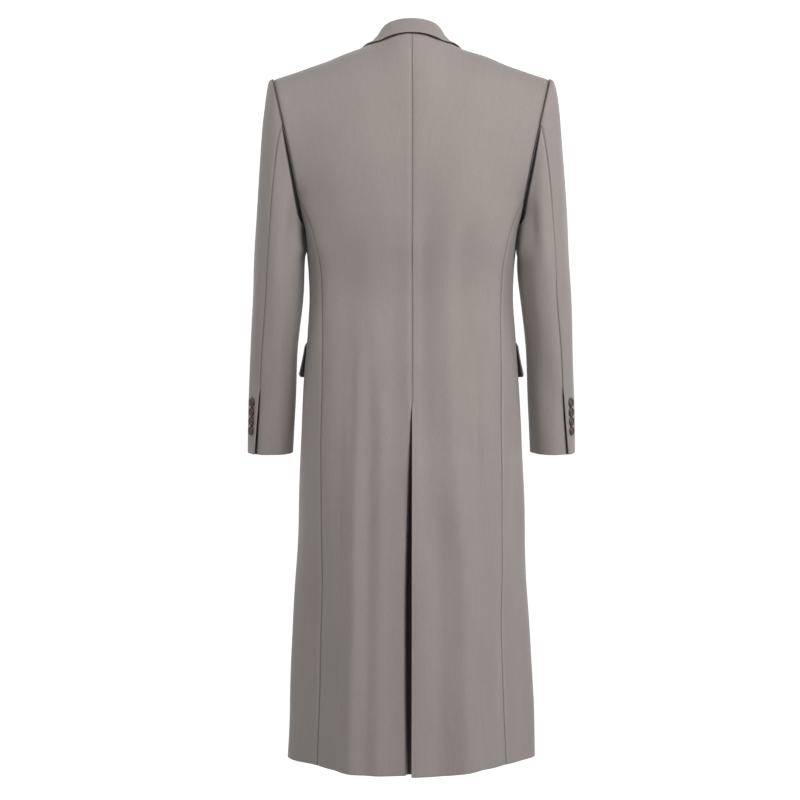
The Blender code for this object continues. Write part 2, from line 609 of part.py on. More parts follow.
def collar(finish):
    """Stand and fall in one piece, folded over at the top and open at the front."""
    rows = [dict(zip(COLLAR_COLUMNS, row)) for row in COLLAR]
    runs = [row["run"] for row in rows]
    both = [-run for run in runs[:0:-1]] + runs

    def track(part):
        half = np.array([[row[f"{part}_x"], row[f"{part}_y"], row[f"{part}_z"]] for row in rows])
        return Smooth(both, np.concatenate([half[:0:-1] * np.array([-1.0, 1.0, 1.0]), half]))

    half_runs = np.concatenate([np.linspace(0.0, COLLAR_FRONT, COLLAR_RUNS - 4), (0.90, 0.95, 0.975, 1.0)])
    at = np.concatenate([-half_runs[:0:-1], half_runs])
    seam, fold, edge = (track(part)(at) for part in ("seam", "fold", "edge"))
    away = unit(edge - fold)
    climb = unit(fold - seam)
    crest = unit(fold - (seam + edge) / 2)
    points = np.stack((
        edge,
        edge + (fold - edge) * 0.33 + crest * COLLAR_SWELL[0],
        edge + (fold - edge) * 0.66 + crest * COLLAR_SWELL[1],
        fold + away * COLLAR_TURN * 1.3 + crest * COLLAR_FLAT,
        fold,
        fold - climb * COLLAR_TURN * 1.3 - away * COLLAR_TURN * 0.9 - crest * COLLAR_FLAT,
        seam + (fold - seam) * 0.45 - away * COLLAR_TURN * 0.6,
        seam - away * COLLAR_TURN * 0.2,
    ))
    return wall("collar", points, grid_normals(points), finish, thick=COLLAR_CLOTH)


def grid_normals(points):
    """Normals of a grid of points from its own rows and columns, facing away from the wall's inside."""
    along, across = np.gradient(points, axis=1), np.gradient(points, axis=0)
    return unit(np.cross(along, across))


def lapel(name, finish, right):
    """The turned-back top of a front, rolled round its edge and lying on it out to the lapel's own edge. The foot
    of the right one goes out of sight behind the left front."""
    rows = [dict(zip(LAPEL_COLUMNS, row)) for row in LAPEL]
    at = [row["rise"] for row in rows]
    edge_x = Smooth(at, [row["edge_x"] for row in rows])
    edge_z = Smooth(at, [row["edge_z"] for row in rows])
    first = LAPEL_RIGHT_START if right else 0.0
    rises = np.linspace(first, 1.0, LAPEL_ROWS + 1)[:, None]
    steps = np.linspace(0.0, 1.0, LAPEL_STEPS + 1)[None, :]
    roll_z = BREAK_Z + LAPEL_END + (GORGE_Z - LAPEL_END - BREAK_Z) * rises
    start_x = roll_x(roll_z)
    rolled = np.ones_like(rises)
    if right:
        hidden = -start_x + LAPEL_ROLL_OUT + LAPEL_CLEAR
        rolled = np.clip((start_x - LAPEL_ROLL_OUT - hidden) / LAPEL_END, 0.0, 1.0)
        start_x = np.maximum(start_x, hidden + LAPEL_ROLL_OUT)
    x = start_x + (np.maximum(edge_x(rises), start_x + LAPEL_END) - start_x) * steps
    z = roll_z + (edge_z(rises) - roll_z) * steps
    off = LAPEL_LIE + LAPEL_ROLL * np.sin(math.pi * steps ** 0.7) * np.sqrt(rises)
    turn_x = start_x - LAPEL_ROLL_OUT * np.array([LAPEL_TURN])
    turn_off = rolled * np.array([LAPEL_TURN_OFF]) + (1 - rolled) * LAPEL_LIE
    x = np.concatenate([turn_x, x[:, 1:]], axis=1)
    z = np.concatenate([np.repeat(roll_z, len(LAPEL_TURN), axis=1), z[:, 1:]], axis=1)
    off = np.concatenate([turn_off, off[:, 1:]], axis=1)
    points, _ = front_at(x, z, off)
    normals = grid_normals(points)
    return wall(name, pulled_in(points, ("top",)), normals, finish, thick=LAPEL_CLOTH, mirrored=right)


def flap(name, finish, right):
    """Pocket flap at the hip, held along its top and standing away from the coat at its foot."""
    u = np.linspace(FLAP_FROM_U, FLAP_TO_U, 9)[None, :]
    down = np.linspace(1.0, 0.0, 5)[:, None]
    ends = np.minimum(u - FLAP_FROM_U, FLAP_TO_U - u)
    corner = FLAP_CORNER * (1 - ease(ends / FLAP_CORNER_U)) * down**2
    z = FLAP_TOP_Z + (FLAP_LOW_Z - FLAP_TOP_Z) * down + corner
    rear = 1 - ease((u - FLAP_FROM_U) / FLAP_REAR_U)
    off = FLAP_STAND + down**1.3 * FLAP_FLARE * (FLAP_FRONT_SHARE + (1 - FLAP_FRONT_SHARE) * rear)
    points = ring(u, z) + ring_normal(u, z) * off[..., None]
    return wall(name, points, ring_normal(u, z), finish, thick=FLAP_CLOTH, mirrored=right)


def button(name, middle, facing, across, thick, finish):
    """A turned horn button with a raised rim, its back at middle and its face along facing."""
    radius = across / 2
    facing = unit(np.asarray(facing))
    side = unit(np.cross(facing, (0.0, 0.0, 1.0)))
    up = np.cross(side, facing)
    points, faces = [middle + facing * BUTTON_PROFILE[0][1] * thick], []
    for reach, height in BUTTON_PROFILE[1:-1]:
        for k in range(BUTTON_SIDES):
            angle = 2 * math.pi * k / BUTTON_SIDES
            arm = side * math.cos(angle) + up * math.sin(angle)
            points.append(middle + arm * reach * radius + facing * height * thick)
    points.append(middle + facing * BUTTON_PROFILE[-1][1] * thick)
    rings = len(BUTTON_PROFILE) - 2
    for k in range(BUTTON_SIDES):
        after = (k + 1) % BUTTON_SIDES
        faces.append((0, 1 + k, 1 + after))
        for r in range(rings - 1):
            a = 1 + r * BUTTON_SIDES
            faces.append((a + k, a + BUTTON_SIDES + k, a + BUTTON_SIDES + after, a + after))
        last = 1 + (rings - 1) * BUTTON_SIDES
        faces.append((last + k, len(points) - 1, last + after))
    return add_object(name, np.array(points), faces, finish)


def cuff_buttons(finish, right):
    """Four buttons in a row beside the cuff's slit, on the outer sleeve."""
    side = "right" if right else "left"
    flip = np.array([-1.0 if right else 1.0, 1.0, 1.0])
    rings = np.linspace(11.5, 14.0, 101)
    heights = sleeve_point(rings, CUFF_BUTTON_DEG)[:, 2]
    for k in range(CUFF_BUTTONS):
        at = float(np.interp(-(CUFF_BUTTON_TOP_Z - k * CUFF_BUTTON_PITCH), -heights, rings))
        here = sleeve_point(at, CUFF_BUTTON_DEG)
        along = sleeve_point(at + 0.01, CUFF_BUTTON_DEG) - here
        around = sleeve_point(at, CUFF_BUTTON_DEG + 0.5) - here
        normal = unit(np.cross(along, around))
        middle = (here + normal * CUFF_BUTTON_SEAT) * flip
        button(f"cuff_button_{side}_{k + 1}", middle, normal * flip, CUFF_BUTTON, CUFF_BUTTON_THICK, finish)


def front_buttons(finish):
    for k, height in enumerate(FRONT_BUTTON_HEIGHTS):
        here, normal = front_at(0.0, height)
        middle = here + normal * FRONT_BUTTON_SEAT
        button(f"front_button_{k + 1}", middle, normal, FRONT_BUTTON, FRONT_BUTTON_THICK, finish)


def main():
    for old in list(bpy.data.objects):
        bpy.data.objects.remove(old)
    cloth = material("coat_cloth", CLOTH_COLOUR, 0.85)
    horn = material("horn", HORN_COLOUR, 0.35)
    for side, right in (("left", False), ("right", True)):
        back_panel(f"back_{side}", cloth, right)
        side_panel(f"side_{side}", cloth, right)
        front_panel(f"front_{side}", cloth, right)
        sleeve_panels(cloth, right)
        lapel(f"lapel_{side}", cloth, right)
        flap(f"flap_{side}", cloth, right)
        cuff_buttons(horn, right)
    collar(cloth)
    front_buttons(horn)


main()
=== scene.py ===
"""Long tailored overcoat, in the form it has when worn, with its cloth, collar, buttons and studio.

Lengths are in metres. +Z is up, the coat's front faces -Y, +X is the wearer's left, and the origin is between
the shoulders at the base of the neck. Every panel is a thin shell on one shared form. Right-hand pieces are
built on the left and mirrored.
"""

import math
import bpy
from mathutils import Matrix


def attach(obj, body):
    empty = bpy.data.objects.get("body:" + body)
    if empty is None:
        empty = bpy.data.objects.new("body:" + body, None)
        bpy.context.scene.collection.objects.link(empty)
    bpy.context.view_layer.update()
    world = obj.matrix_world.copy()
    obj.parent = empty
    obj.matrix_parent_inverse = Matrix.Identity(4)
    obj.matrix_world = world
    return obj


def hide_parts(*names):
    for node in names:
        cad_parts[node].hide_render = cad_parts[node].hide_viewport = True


bl_info = {
    "name": "Long overcoat",
    "version": (1, 0, 0),
    "blender": (4, 5, 0),
    "location": "View3D > Sidebar > Coat",
    "description": "Long tailored overcoat with a back vent, and the studio that shows it",
    "category": "Add Mesh",
}

import bpy
import numpy as np
from mathutils.bvhtree import BVHTree

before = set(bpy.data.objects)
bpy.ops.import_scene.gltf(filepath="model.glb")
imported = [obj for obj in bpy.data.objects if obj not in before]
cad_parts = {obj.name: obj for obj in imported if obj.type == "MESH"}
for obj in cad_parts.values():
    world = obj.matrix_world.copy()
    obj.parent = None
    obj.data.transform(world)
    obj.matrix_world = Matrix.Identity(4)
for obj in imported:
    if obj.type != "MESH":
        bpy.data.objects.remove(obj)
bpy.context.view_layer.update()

# Heights of the form
HEM_Z = -1.197
YOKE_Z = -0.261
WAIST_Z = -0.418
VENT_TOP_Z = -0.603
BREAK_Z = -0.345
NECK_BACK_Z = 0.0205

# Shoulder and armhole
SHOULDER_HALF = 0.2305
SHOULDER_Z = -0.058
ARMHOLE_LOW_X, ARMHOLE_LOW_Z = 0.181, -0.300
ARMHOLE_BACK, ARMHOLE_FRONT = 0.074, 0.066
ARMHOLE_HOLLOW = 0.003
ARMHOLE_FULLNESS = 0.8
SHOULDER_ROUND = 0.87
NECK_HALF = 0.0625
CHEST_HALF = 0.21

# Vent: how far the upper edge stands out, and by height, how wide and how deep the gap beside it is
VENT_LIFT, VENT_LIFT_WIDTH, VENT_OPENING_RUN = 0.012, 0.060, 0.160
VENT_EDGE = 0.0004
UNDERLAP = 0.040
CENTRE_LEAN, CENTRE_LEAN_WIDTH, CENTRE_LEAN_Z = 0.0012, 0.080, -0.66
VENT_GAP_COLUMNS = ("z", "width", "depth")
VENT_GAP = (
    (-1.200, 0.0062, 0.0190),
    (-1.100, 0.0080, 0.0200),
    (-0.851, 0.0076, 0.0200),
    (-0.787, 0.0056, 0.0190),
    (-0.707, 0.0028, 0.0150),
    (-0.659, 0.0014, 0.0110),
    (-0.627, 0.0008, 0.0070),
    (-0.603, 0.0006, 0.0012),
    (-0.580, 0.0006, 0.0000),
)
VENT_ROLL = 0.0050
VENT_GRIP = 0.0005
# Painted shade where the left back rolls down into the vent's gap
VENT_ROLL_PAINTED_SHADE = 0.64
EDGE_GROOVE, EDGE_GROOVE_OFF, EDGE_GROOVE_WIDTH = 0.00035, 0.0045, 0.0010
# Painted light of the vent's edges: painted shade on the left back's edge down in the gap, a painted
# highlight on the right back's pressed edge
VENT_EDGE_PAINTED_LIGHT = {"left": -1.0, "right": 0.8}
UNDERLAP_SINK, UNDERLAP_CLEAR = 0.0056, 0.0008
# Painted shade on the underlap and its edges, deep in the vent's gap; the cuff's placket uses the same edge
# shades
UNDERLAP_PAINTED_SHADE, UNDERLAP_EDGE_SHADES = -0.68, (-0.7, -0.7, -0.5, -0.7)

# Fronts
FRONT_LAP_U = 6.2
FRONT_LAP = 0.021
FRONT_FADE = 0.060
CROSS_FADE = 0.012

# Hem: how far it hangs above HEM_Z, by place round the coat
HEM_RUN = 0.25
HEM_LIFT_COLUMNS = ("u", "left", "right")
HEM_LIFT = (
    (0.0, 0.0012, -0.0008),
    (0.4, 0.0006, 0.0002),
    (0.6, 0.0008, 0.0016),
    (0.9, 0.0016, 0.0042),
    (1.2, 0.0028, 0.0062),
    (1.5, 0.0034, 0.0060),
    (2.0, 0.0034, 0.0050),
    (3.0, 0.0050, 0.0064),
    (6.3, 0.0, 0.0),
)

# Cross-sections of the body: plan points that one quarter turn of the coat passes through at each height
SECTION_COLUMNS = ("z", "back", "blade_x", "blade_y", "seam_x", "seam_y", "side",
                   "fore_x", "fore_y", "chest_x", "chest_y", "front")
SECTIONS = (
    (-0.300, 0.124, 0.098, 0.112, 0.1690, 0.0680, 0.1815, 0.1690, -0.0640, 0.094, -0.117, -0.128),
    (-0.340, 0.120, 0.094, 0.107, 0.1570, 0.0730, 0.1765, 0.1570, -0.0700, 0.092, -0.114, -0.124),
    (-0.378, 0.113, 0.090, 0.101, 0.1503, 0.0690, 0.1720, 0.1500, -0.0660, 0.090, -0.108, -0.118),
    (-0.418, 0.109, 0.088, 0.097, 0.1480, 0.0660, 0.1700, 0.1475, -0.0630, 0.088, -0.104, -0.115),
    (-0.480, 0.113, 0.088, 0.101, 0.1467, 0.0700, 0.1742, 0.1480, -0.0670, 0.088, -0.107, -0.118),
    (-0.560, 0.121, 0.089, 0.109, 0.1480, 0.0745, 0.1800, 0.1500, -0.0720, 0.090, -0.112, -0.123),
    (-0.700, 0.133, 0.092, 0.123, 0.1485, 0.0800, 0.1867, 0.1510, -0.0780, 0.092, -0.120, -0.131),
    (-0.850, 0.144, 0.095, 0.136, 0.1480, 0.0830, 0.1922, 0.1520, -0.0820, 0.094, -0.128, -0.138),
    (-1.030, 0.156, 0.098, 0.149, 0.1490, 0.0850, 0.2015, 0.1540, -0.0850, 0.097, -0.136, -0.146),
    (-1.197, 0.167, 0.101, 0.160, 0.1550, 0.0840, 0.2085, 0.1580, -0.0860, 0.100, -0.144, -0.154),
)
YOKE_SECTION = {"back": 0.1245, "blade_x": 0.101, "blade_y": 0.1135, "side": 0.1960,
                "chest_x": 0.096, "chest_y": -0.119, "front": -0.130}
RIDGE_COLUMNS = ("x", "z", "y")
RIDGE = (
    (0.000, 0.0500, -0.004),
    (0.020, 0.0420, -0.004),
    (0.040, 0.0240, -0.003),
    (0.060, 0.0075, -0.001),
    (0.080, -0.0030, 0.0),
    (0.120, -0.0180, 0.0),
    (0.160, -0.0340, 0.0),
    (0.200, -0.0480, 0.0),
    (0.2305, -0.0580, 0.0),
)

# Sleeve rings from the armhole to the cuff
SLEEVE_COLUMNS = ("ring", "outer_x", "outer_z", "inner_x", "inner_z", "back", "front", "middle_y", "tilt_deg",
                  "back_seam_deg", "front_seam_deg")
SLEEVE = (
    (0.0, 0.2305, -0.0580, 0.1810, -0.3000, 0.0740, 0.0660, 0.0, 0.0, 73.7, 242.0),
    (1.0, 0.2370, -0.0615, 0.1814, -0.3050, 0.0745, 0.0670, 0.0, 0.0, 73.5, 242.0),
    (2.0, 0.2412, -0.0780, 0.1814, -0.3110, 0.0750, 0.0680, 0.0, 0.0, 73.0, 242.0),
    (3.5, 0.2478, -0.1300, 0.1806, -0.3220, 0.0755, 0.0700, 0.0, 0.0, 71.5, 241.0),
    (5.0, 0.2540, -0.2080, 0.1790, -0.3370, 0.0755, 0.0720, 0.0, 0.0, 69.0, 240.0),
    (6.5, 0.2595, -0.2950, 0.1782, -0.3560, 0.0750, 0.0730, 0.0, 0.0, 67.0, 239.0),
    (8.0, 0.2636, -0.3650, 0.1800, -0.3900, 0.0735, 0.0725, -0.001, 0.0, 66.0, 238.0),
    (9.5, 0.2667, -0.4300, 0.1845, -0.4370, 0.0700, 0.0700, -0.006, 1.0, 65.0, 238.0),
    (11.0, 0.2706, -0.5110, 0.1930, -0.5110, 0.0635, 0.0635, -0.018, 3.0, 63.5, 238.0),
    (12.5, 0.2751, -0.5950, 0.1972, -0.5950, 0.0575, 0.0575, -0.033, 4.5, 62.0, 238.0),
    (14.0, 0.2778, -0.6820, 0.2029, -0.6820, 0.0530, 0.0530, -0.045, 4.5, 57.0, 238.0),
)

CUFF_RING = 14.0
SLEEVE_FULLNESS = 0.95
SLEEVE_HEAD_ROLL = 0.0012

# Collar sections from the centre back to its front end, and the lapel's outer edge upwards from the break
COLLAR_COLUMNS = ("run", "seam_x", "seam_y", "seam_z", "fold_x", "fold_y", "fold_z",
                  "edge_x", "edge_y", "edge_z")
COLLAR = (
    (0.0, 0.0000, 0.0560, 0.0200, 0.0000, 0.0370, 0.0398, 0.0000, 0.0672, 0.0136),
    (0.2, 0.0215, 0.0510, 0.0195, 0.0205, 0.0340, 0.0386, 0.0237, 0.0635, 0.0118),
    (0.4, 0.0430, 0.0360, 0.0170, 0.0378, 0.0240, 0.0340, 0.0470, 0.0500, 0.0056),
    (0.55, 0.0535, 0.0190, 0.0130, 0.0476, 0.0080, 0.0280, 0.0645, 0.0260, -0.0012),
    (0.7, 0.0580, -0.0020, 0.0080, 0.0552, -0.0120, 0.0190, 0.0780, -0.0010, -0.0038),
    (0.85, 0.0560, -0.0330, -0.0020, 0.0580, -0.0420, 0.0030, 0.0970, -0.0440, -0.0160),
    (0.95, 0.0515, -0.0560, -0.0215, 0.0555, -0.0670, -0.0195, 0.1130, -0.0685, -0.0425),
    (1.0, 0.0480, -0.0700, -0.0355, 0.0515, -0.0820, -0.0365, 0.0980, -0.0855, -0.0640),
)
LAPEL_COLUMNS = ("rise", "edge_x", "edge_z")
LAPEL = (
    (0.0, -0.0160, -0.340),
    (0.3, 0.0300, -0.262),
    (0.6, 0.0740, -0.184),
    (0.85, 0.1080, -0.117),
    (1.0, 0.1260, -0.0820),
)
GORGE_Z = -0.0400
LAPEL_CLOTH = 0.0022
LAPEL_LIE = 0.0028
LAPEL_ROLL = 0.0040
LAPEL_ROLL_OUT = 0.0032
LAPEL_RIGHT_START = 0.17
LAPEL_LEAST = 0.004
LAPEL_CROSS_GAP = 0.0009
LAPEL_TURNS = np.radians(np.linspace(-75.0, 75.0, 9))[None, :]

# Flaps
FLAP_TOP_Z, FLAP_LOW_Z = -0.499, -0.5555
FLAP_FROM_U, FLAP_TO_U = 3.02, 4.90
FLAP_HELD, FLAP_STAND, FLAP_FLARE = 0.0012, 0.0034, 0.0062
FLAP_END_STEPS = np.array((0.0, 0.02, 0.045, 0.075, 0.11, 0.15))
FLAP_CORNER = 0.0035
FLAP_CLOTH = 0.0022

# Buttons
CUFF_BUTTONS = 4
CUFF_BUTTON_PITCH = 0.0158
CUFF_BUTTON_TOP_Z = -0.5988
CUFF_BUTTON_DEG = 40.5
CUFF_BUTTON_LEAN = 0.10
CUFF_SLIT_Z = -0.566
CUFF_SLIT_RUN = 0.022
CUFF_SLIT_DEG = (4.6, 0.6)
PLACKET_DEG = (-17.0, 3.0)
PLACKET_DROP = 0.0045
PLACKET_LONGER = 0.0008
# The placket under the cuff slit is painted dark as the shade in the slit
PLACKET_CLOTH, PLACKET_PAINTED_SHADE = 0.0014, -0.64
FRONT_BUTTON_HEIGHTS = (-0.362, -0.482, -0.602)
FRONT_BUTTON_SPINS = (0.3, 0.9, 0.1)
FRONT_BUTTON_STAND, CUFF_BUTTON_STAND = 0.0012, 0.0006

# Soft upright folds. u is 0 at the centre back and 6 at the centre front, and a trough's height is below 0.
FOLD_COLUMNS = ("side", "u_top", "u_foot", "width", "z_top", "z_foot", "height")
FOLDS = (
    ("left", 0.50, 0.51, 0.105, -0.62, -1.40, 0.0026),
    ("left", 0.72, 0.70, 0.100, -0.55, -1.40, -0.0026),
    ("left", 0.95, 0.98, 0.120, -0.50, -1.40, 0.0030),
    ("left", 1.38, 1.42, 0.170, -0.52, -1.40, -0.0024),
    ("left", 0.30, 0.26, 0.120, -0.30, -0.66, -0.0016),
    ("left", 0.75, 0.62, 0.170, -0.30, -0.62, 0.0018),
    ("left", 2.45, 2.50, 0.200, -0.60, -1.40, 0.0020),
    ("left", 3.50, 3.45, 0.200, -0.70, -1.40, -0.0024),
    ("left", 4.55, 4.50, 0.170, -0.60, -1.40, 0.0030),
    ("left", 5.05, 5.10, 0.150, -0.55, -1.40, -0.0030),
    ("left", 5.55, 5.55, 0.130, -0.70, -1.40, 0.0022),
    ("right", 0.19, 0.22, 0.150, -0.28, -0.78, -0.0036),
    ("right", 0.62, 0.70, 0.190, -0.28, -0.84, 0.0040),
    ("right", 0.42, 0.44, 0.110, -0.78, -1.40, -0.0018),
    ("right", 0.84, 0.86, 0.140, -0.70, -1.40, 0.0032),
    ("right", 1.26, 1.28, 0.150, -0.55, -1.40, -0.0030),
    ("right", 1.70, 1.72, 0.130, -0.75, -1.40, 0.0016),
    ("right", 2.50, 2.55, 0.220, -0.62, -1.40, -0.0018),
    ("right", 3.45, 3.40, 0.200, -0.66, -1.40, 0.0022),
    ("right", 4.60, 4.55, 0.180, -0.60, -1.40, -0.0026),
    ("right", 5.10, 5.10, 0.150, -0.62, -1.40, 0.0028),
    ("right", 5.50, 5.52, 0.120, -0.72, -1.40, -0.0020),
)
FOLD_FADE = 0.16
WAVE_HEIGHT = 0.00045
FOLD_TABLE = [dict(zip(FOLD_COLUMNS, row)) for row in FOLDS]

# Soft folds of the sleeves, by ring and degrees, with the lean in degrees for each ring
SLEEVE_FOLD_COLUMNS = ("side", "ring", "degrees", "run", "spread", "lean", "height")
SLEEVE_FOLDS = (
    ("left", 4.6, 122.0, 1.7, 13.0, -4.0, -0.0030),
    ("left", 6.3, 98.0, 2.2, 12.0, -5.0, 0.0022),
    ("left", 8.7, 60.0, 1.7, 16.0, 7.0, -0.0018),
    ("left", 9.0, 250.0, 1.4, 20.0, 10.0, -0.0035),
    ("left", 10.2, 262.0, 1.3, 18.0, 9.0, 0.0024),
    ("left", 3.8, 228.0, 1.6, 14.0, 5.0, -0.0028),
    ("left", 11.6, 106.0, 2.0, 18.0, 2.0, 0.0016),
    ("right", 4.9, 118.0, 1.9, 13.0, -5.0, -0.0026),
    ("right", 6.9, 92.0, 2.4, 12.0, -3.0, 0.0020),
    ("right", 9.3, 66.0, 1.6, 15.0, 6.0, -0.0020),
    ("right", 8.8, 246.0, 1.3, 21.0, 9.0, -0.0032),
    ("right", 10.0, 266.0, 1.2, 17.0, 8.0, 0.0026),
    ("right", 4.1, 232.0, 1.5, 14.0, 4.0, -0.0030),
    ("right", 11.9, 112.0, 2.2, 18.0, 1.0, 0.0014),
)
SLEEVE_FOLD_TABLE = [dict(zip(SLEEVE_FOLD_COLUMNS, row)) for row in SLEEVE_FOLDS]

# Where the sleeve's back lies against the coat just below the armhole, by ring and degrees
SLEEVE_REST = 0.0085
SLEEVE_REST_DEG, SLEEVE_REST_SPREAD = 151.0, 14.0
SLEEVE_REST_RINGS = {"left": (2.4, 3.7, 6.0, 7.2), "right": (2.4, 3.7, 6.35, 7.6)}

# Deep crease between sleeve and back, painted dark as shade: how wide it is by degrees of the armhole,
# and its part under the arm
CREASE_DEG, CREASE_WIDTH = (72.0, 150.0), (0.0050, 0.0240)
CREASE_END_DEG = 222.0
CREASE_UNDER_DEG, CREASE_UNDER_RINGS = 134.0, (0.4, 2.4, 5.4, 7.8)
CREASE_PAINTED_SHADE = 1.6

# How much fuller each sleeve hangs than the shared form, outside the arm and inside it
SLEEVE_FULL_COLUMNS = ("ring", "left_outer", "left_inner", "right_outer", "right_inner")
SLEEVE_FULL = (
    (0.0, 0.0, 0.0, 0.0, 0.0),
    (1.0, 0.0006, 0.0, 0.0020, 0.0),
    (4.0, 0.0010, 0.0, 0.0022, 0.0),
    (7.0, 0.0004, 0.0, 0.0016, 0.0),
    (11.0, 0.0, 0.0012, 0.0016, 0.0),
    (14.0, 0.0, 0.0032, 0.0012, 0.0),
)


# Settings


def number(name, description, default, **more):
    return bpy.props.FloatProperty(name=name, description=description, default=default, **more)


def length(name, description, default, **limits):
    return number(name, description, default, unit="LENGTH", **limits)


def power(name, description, default):
    return number(name, description, default, unit="POWER")


def tint(name, description, default):
    return bpy.props.FloatVectorProperty(
        name=name, description=description, default=default, subtype="COLOR", size=3, min=0.0, max=1.0)


class ClothSettings(bpy.types.PropertyGroup):
    """Sizes and colours of the coat's cloth"""

    thickness: length("Thickness", "Thickness of a panel with what backs it", 0.0022, min=0.001, max=0.004)
    colour: tint("Cloth", "Colour of the worsted cloth", (0.318, 0.278, 0.262))
    # The felt is real, but its near-black colour also stands for the shadow under the collar's edge, as
    # painted shade
    felt: tint("Felt", "Colour of the felt under the collar", (0.020, 0.011, 0.009))
    folds: number("Folds", "How strongly the soft upright folds show", 1.3, min=0.0, max=2.0)
    seam_depth: length("Seam depth", "How far the cloth dips beside a seam", 0.0006, min=0.0, max=0.002)
    grain: number("Grain", "Strength of the upright grain in the colour", 0.22, min=0.0, max=1.0)


class ButtonSettings(bpy.types.PropertyGroup):
    """Sizes and colours of the horn buttons"""

    cuff_width: length("Cuff button", "Width of a cuff button", 0.0161)
    cuff_thickness: length("Cuff button thickness", "Thickness of a cuff button", 0.0036)
    front_width: length("Front button", "Width of a front button", 0.026)
    front_thickness: length("Front button thickness", "Thickness of a front button", 0.0050)
    rim: tint("Rim", "Colour of the button's rim", (0.030, 0.015, 0.011))
    centre: tint("Centre", "Colour of the button's middle", (0.400, 0.310, 0.250))


class StudioSettings(bpy.types.PropertyGroup):
    """Strengths of the studio's lights"""

    key: power("Key", "Power of the softbox on the right, above the camera", 52.0)
    fill: power("Fill", "Power of the softbox on the left, above the camera", 13.5)
    overhead: power("Overhead", "Power of the softbox over the shoulders", 10.0)
    side_left: power("Left side", "Power of the tall softbox beside the left sleeve", 22.0)
    side_right: power("Right side", "Power of the tall softbox beside the right sleeve", 24.0)
    sky: number("Surround", "Strength of the white surround", 0.03, min=0.0, max=3.0)
    sky_seen: number("Seen surround", "How bright the surround looks where it shows", 0.95, min=0.0, max=3.0)
    paper: number("Paper", "Glow of the white paper behind the coat", 0.86, min=0.0, max=2.0)


# Curves and arrays


def blends(part):
    """How much a span's start, its end, and the slopes at its start and end count at a part of it."""
    start, end = (1 + 2 * part) * (1 - part) ** 2, part**2 * (3 - 2 * part)
    return start, end, part * (1 - part) ** 2, part**2 * (part - 1)


class Smooth:
    """A smooth curve through the values at rising knots."""

    def __init__(self, knots, values):
        order = np.argsort(knots)
        self.knots = np.asarray(knots, float)[order]
        self.values = np.asarray(values, float)[order]
        self.slopes = np.gradient(self.values, self.knots, axis=0)

    def __call__(self, at):
        at = np.asarray(at, float)
        last = len(self.knots) - 2
        low = np.clip(np.searchsorted(self.knots, at, side="right") - 1, 0, last)
        step = self.knots[low + 1] - self.knots[low]
        part = (at - self.knots[low]) / step
        spread = (...,) + (None,) * (self.values.ndim - 1)
        step = step[spread]
        start, end, leave, arrive = blends(part[spread])
        return (start * self.values[low] + end * self.values[low + 1]
                + leave * step * self.slopes[low] + arrive * step * self.slopes[low + 1])


def column_curves(columns, rows):
    """One smooth curve for each column of a table, over its first column."""
    return {name: Smooth([row[0] for row in rows], [row[k] for row in rows])
            for k, name in enumerate(columns) if k}


def ease(part):
    """0 to 1 with level ends."""
    part = np.clip(part, 0.0, 1.0)
    return part * part * (3 - 2 * part)


def bell(part):
    """1 at 0 and falling away on both sides, to about 0.02 at 2."""
    return np.exp(-np.asarray(part) ** 2)


def unit(vectors):
    return vectors / np.maximum(np.linalg.norm(vectors, axis=-1, keepdims=True), 1e-12)


def point(x, y, z):
    """One array of points from coordinates of any shapes that fit together."""
    return np.stack(np.broadcast_arrays(x, y, z), axis=-1).astype(float)


# The form


def armhole(degrees):
    """Points of the left armhole: 0 at the shoulder, 90 at the back, 180 under the arm, 270 at the front."""
    turn = np.radians(degrees)
    fall = (1 - np.cos(turn)) / 2
    across = np.sin(turn)
    depth = np.where(across > 0, ARMHOLE_BACK, ARMHOLE_FRONT)
    return point(
        SHOULDER_HALF + (ARMHOLE_LOW_X - SHOULDER_HALF) * fall - ARMHOLE_HOLLOW * across**2,
        depth * np.sign(across) * np.abs(across) ** ARMHOLE_FULLNESS,
        SHOULDER_Z + (ARMHOLE_LOW_Z - SHOULDER_Z) * fall,
    )


YOKE_FALL = (SHOULDER_Z - YOKE_Z) / (SHOULDER_Z - ARMHOLE_LOW_Z)
YOKE_DEG = math.degrees(math.acos(1 - 2 * YOKE_FALL))


def section_curves():
    """The curves up the coat of SECTIONS, with the armhole's own points at the top."""
    yoke = dict(YOKE_SECTION)
    back, fore = armhole(YOKE_DEG), armhole(360.0 - YOKE_DEG)
    yoke.update(z=YOKE_Z, seam_x=back[0], seam_y=back[1], fore_x=fore[0], fore_y=fore[1])
    rows = list(SECTIONS) + [tuple(yoke[name] for name in SECTION_COLUMNS)]
    return column_curves(SECTION_COLUMNS, rows)


SECTION = section_curves()
RIDGE_CURVES = column_curves(RIDGE_COLUMNS, RIDGE)
RIDGE_Z, RIDGE_Y = RIDGE_CURVES["z"], RIDGE_CURVES["y"]
HEM_LINE = column_curves(HEM_LIFT_COLUMNS, HEM_LIFT)
VENT = column_curves(VENT_GAP_COLUMNS, VENT_GAP)
SLEEVE_LINE = column_curves(SLEEVE_COLUMNS, SLEEVE)
FULLNESS = column_curves(SLEEVE_FULL_COLUMNS, SLEEVE_FULL)
STEP = 1e-4


def plan_points(z):
    """A section's plan points from centre back (0) to centre front (6), with mirrored ones past each end."""
    level = {name: curve(z) for name, curve in SECTION.items()}
    zero = np.zeros_like(z)
    places = (
        (-level["blade_x"], level["blade_y"]),
        (zero, level["back"]),
        (level["blade_x"], level["blade_y"]),
        (level["seam_x"], level["seam_y"]),
        (level["side"], zero),
        (level["fore_x"], level["fore_y"]),
        (level["chest_x"], level["chest_y"]),
        (zero, level["front"]),
        (-level["chest_x"], level["chest_y"]),
        (-level["fore_x"], level["fore_y"]),
    )
    return np.stack([np.stack(place, axis=-1) for place in places])


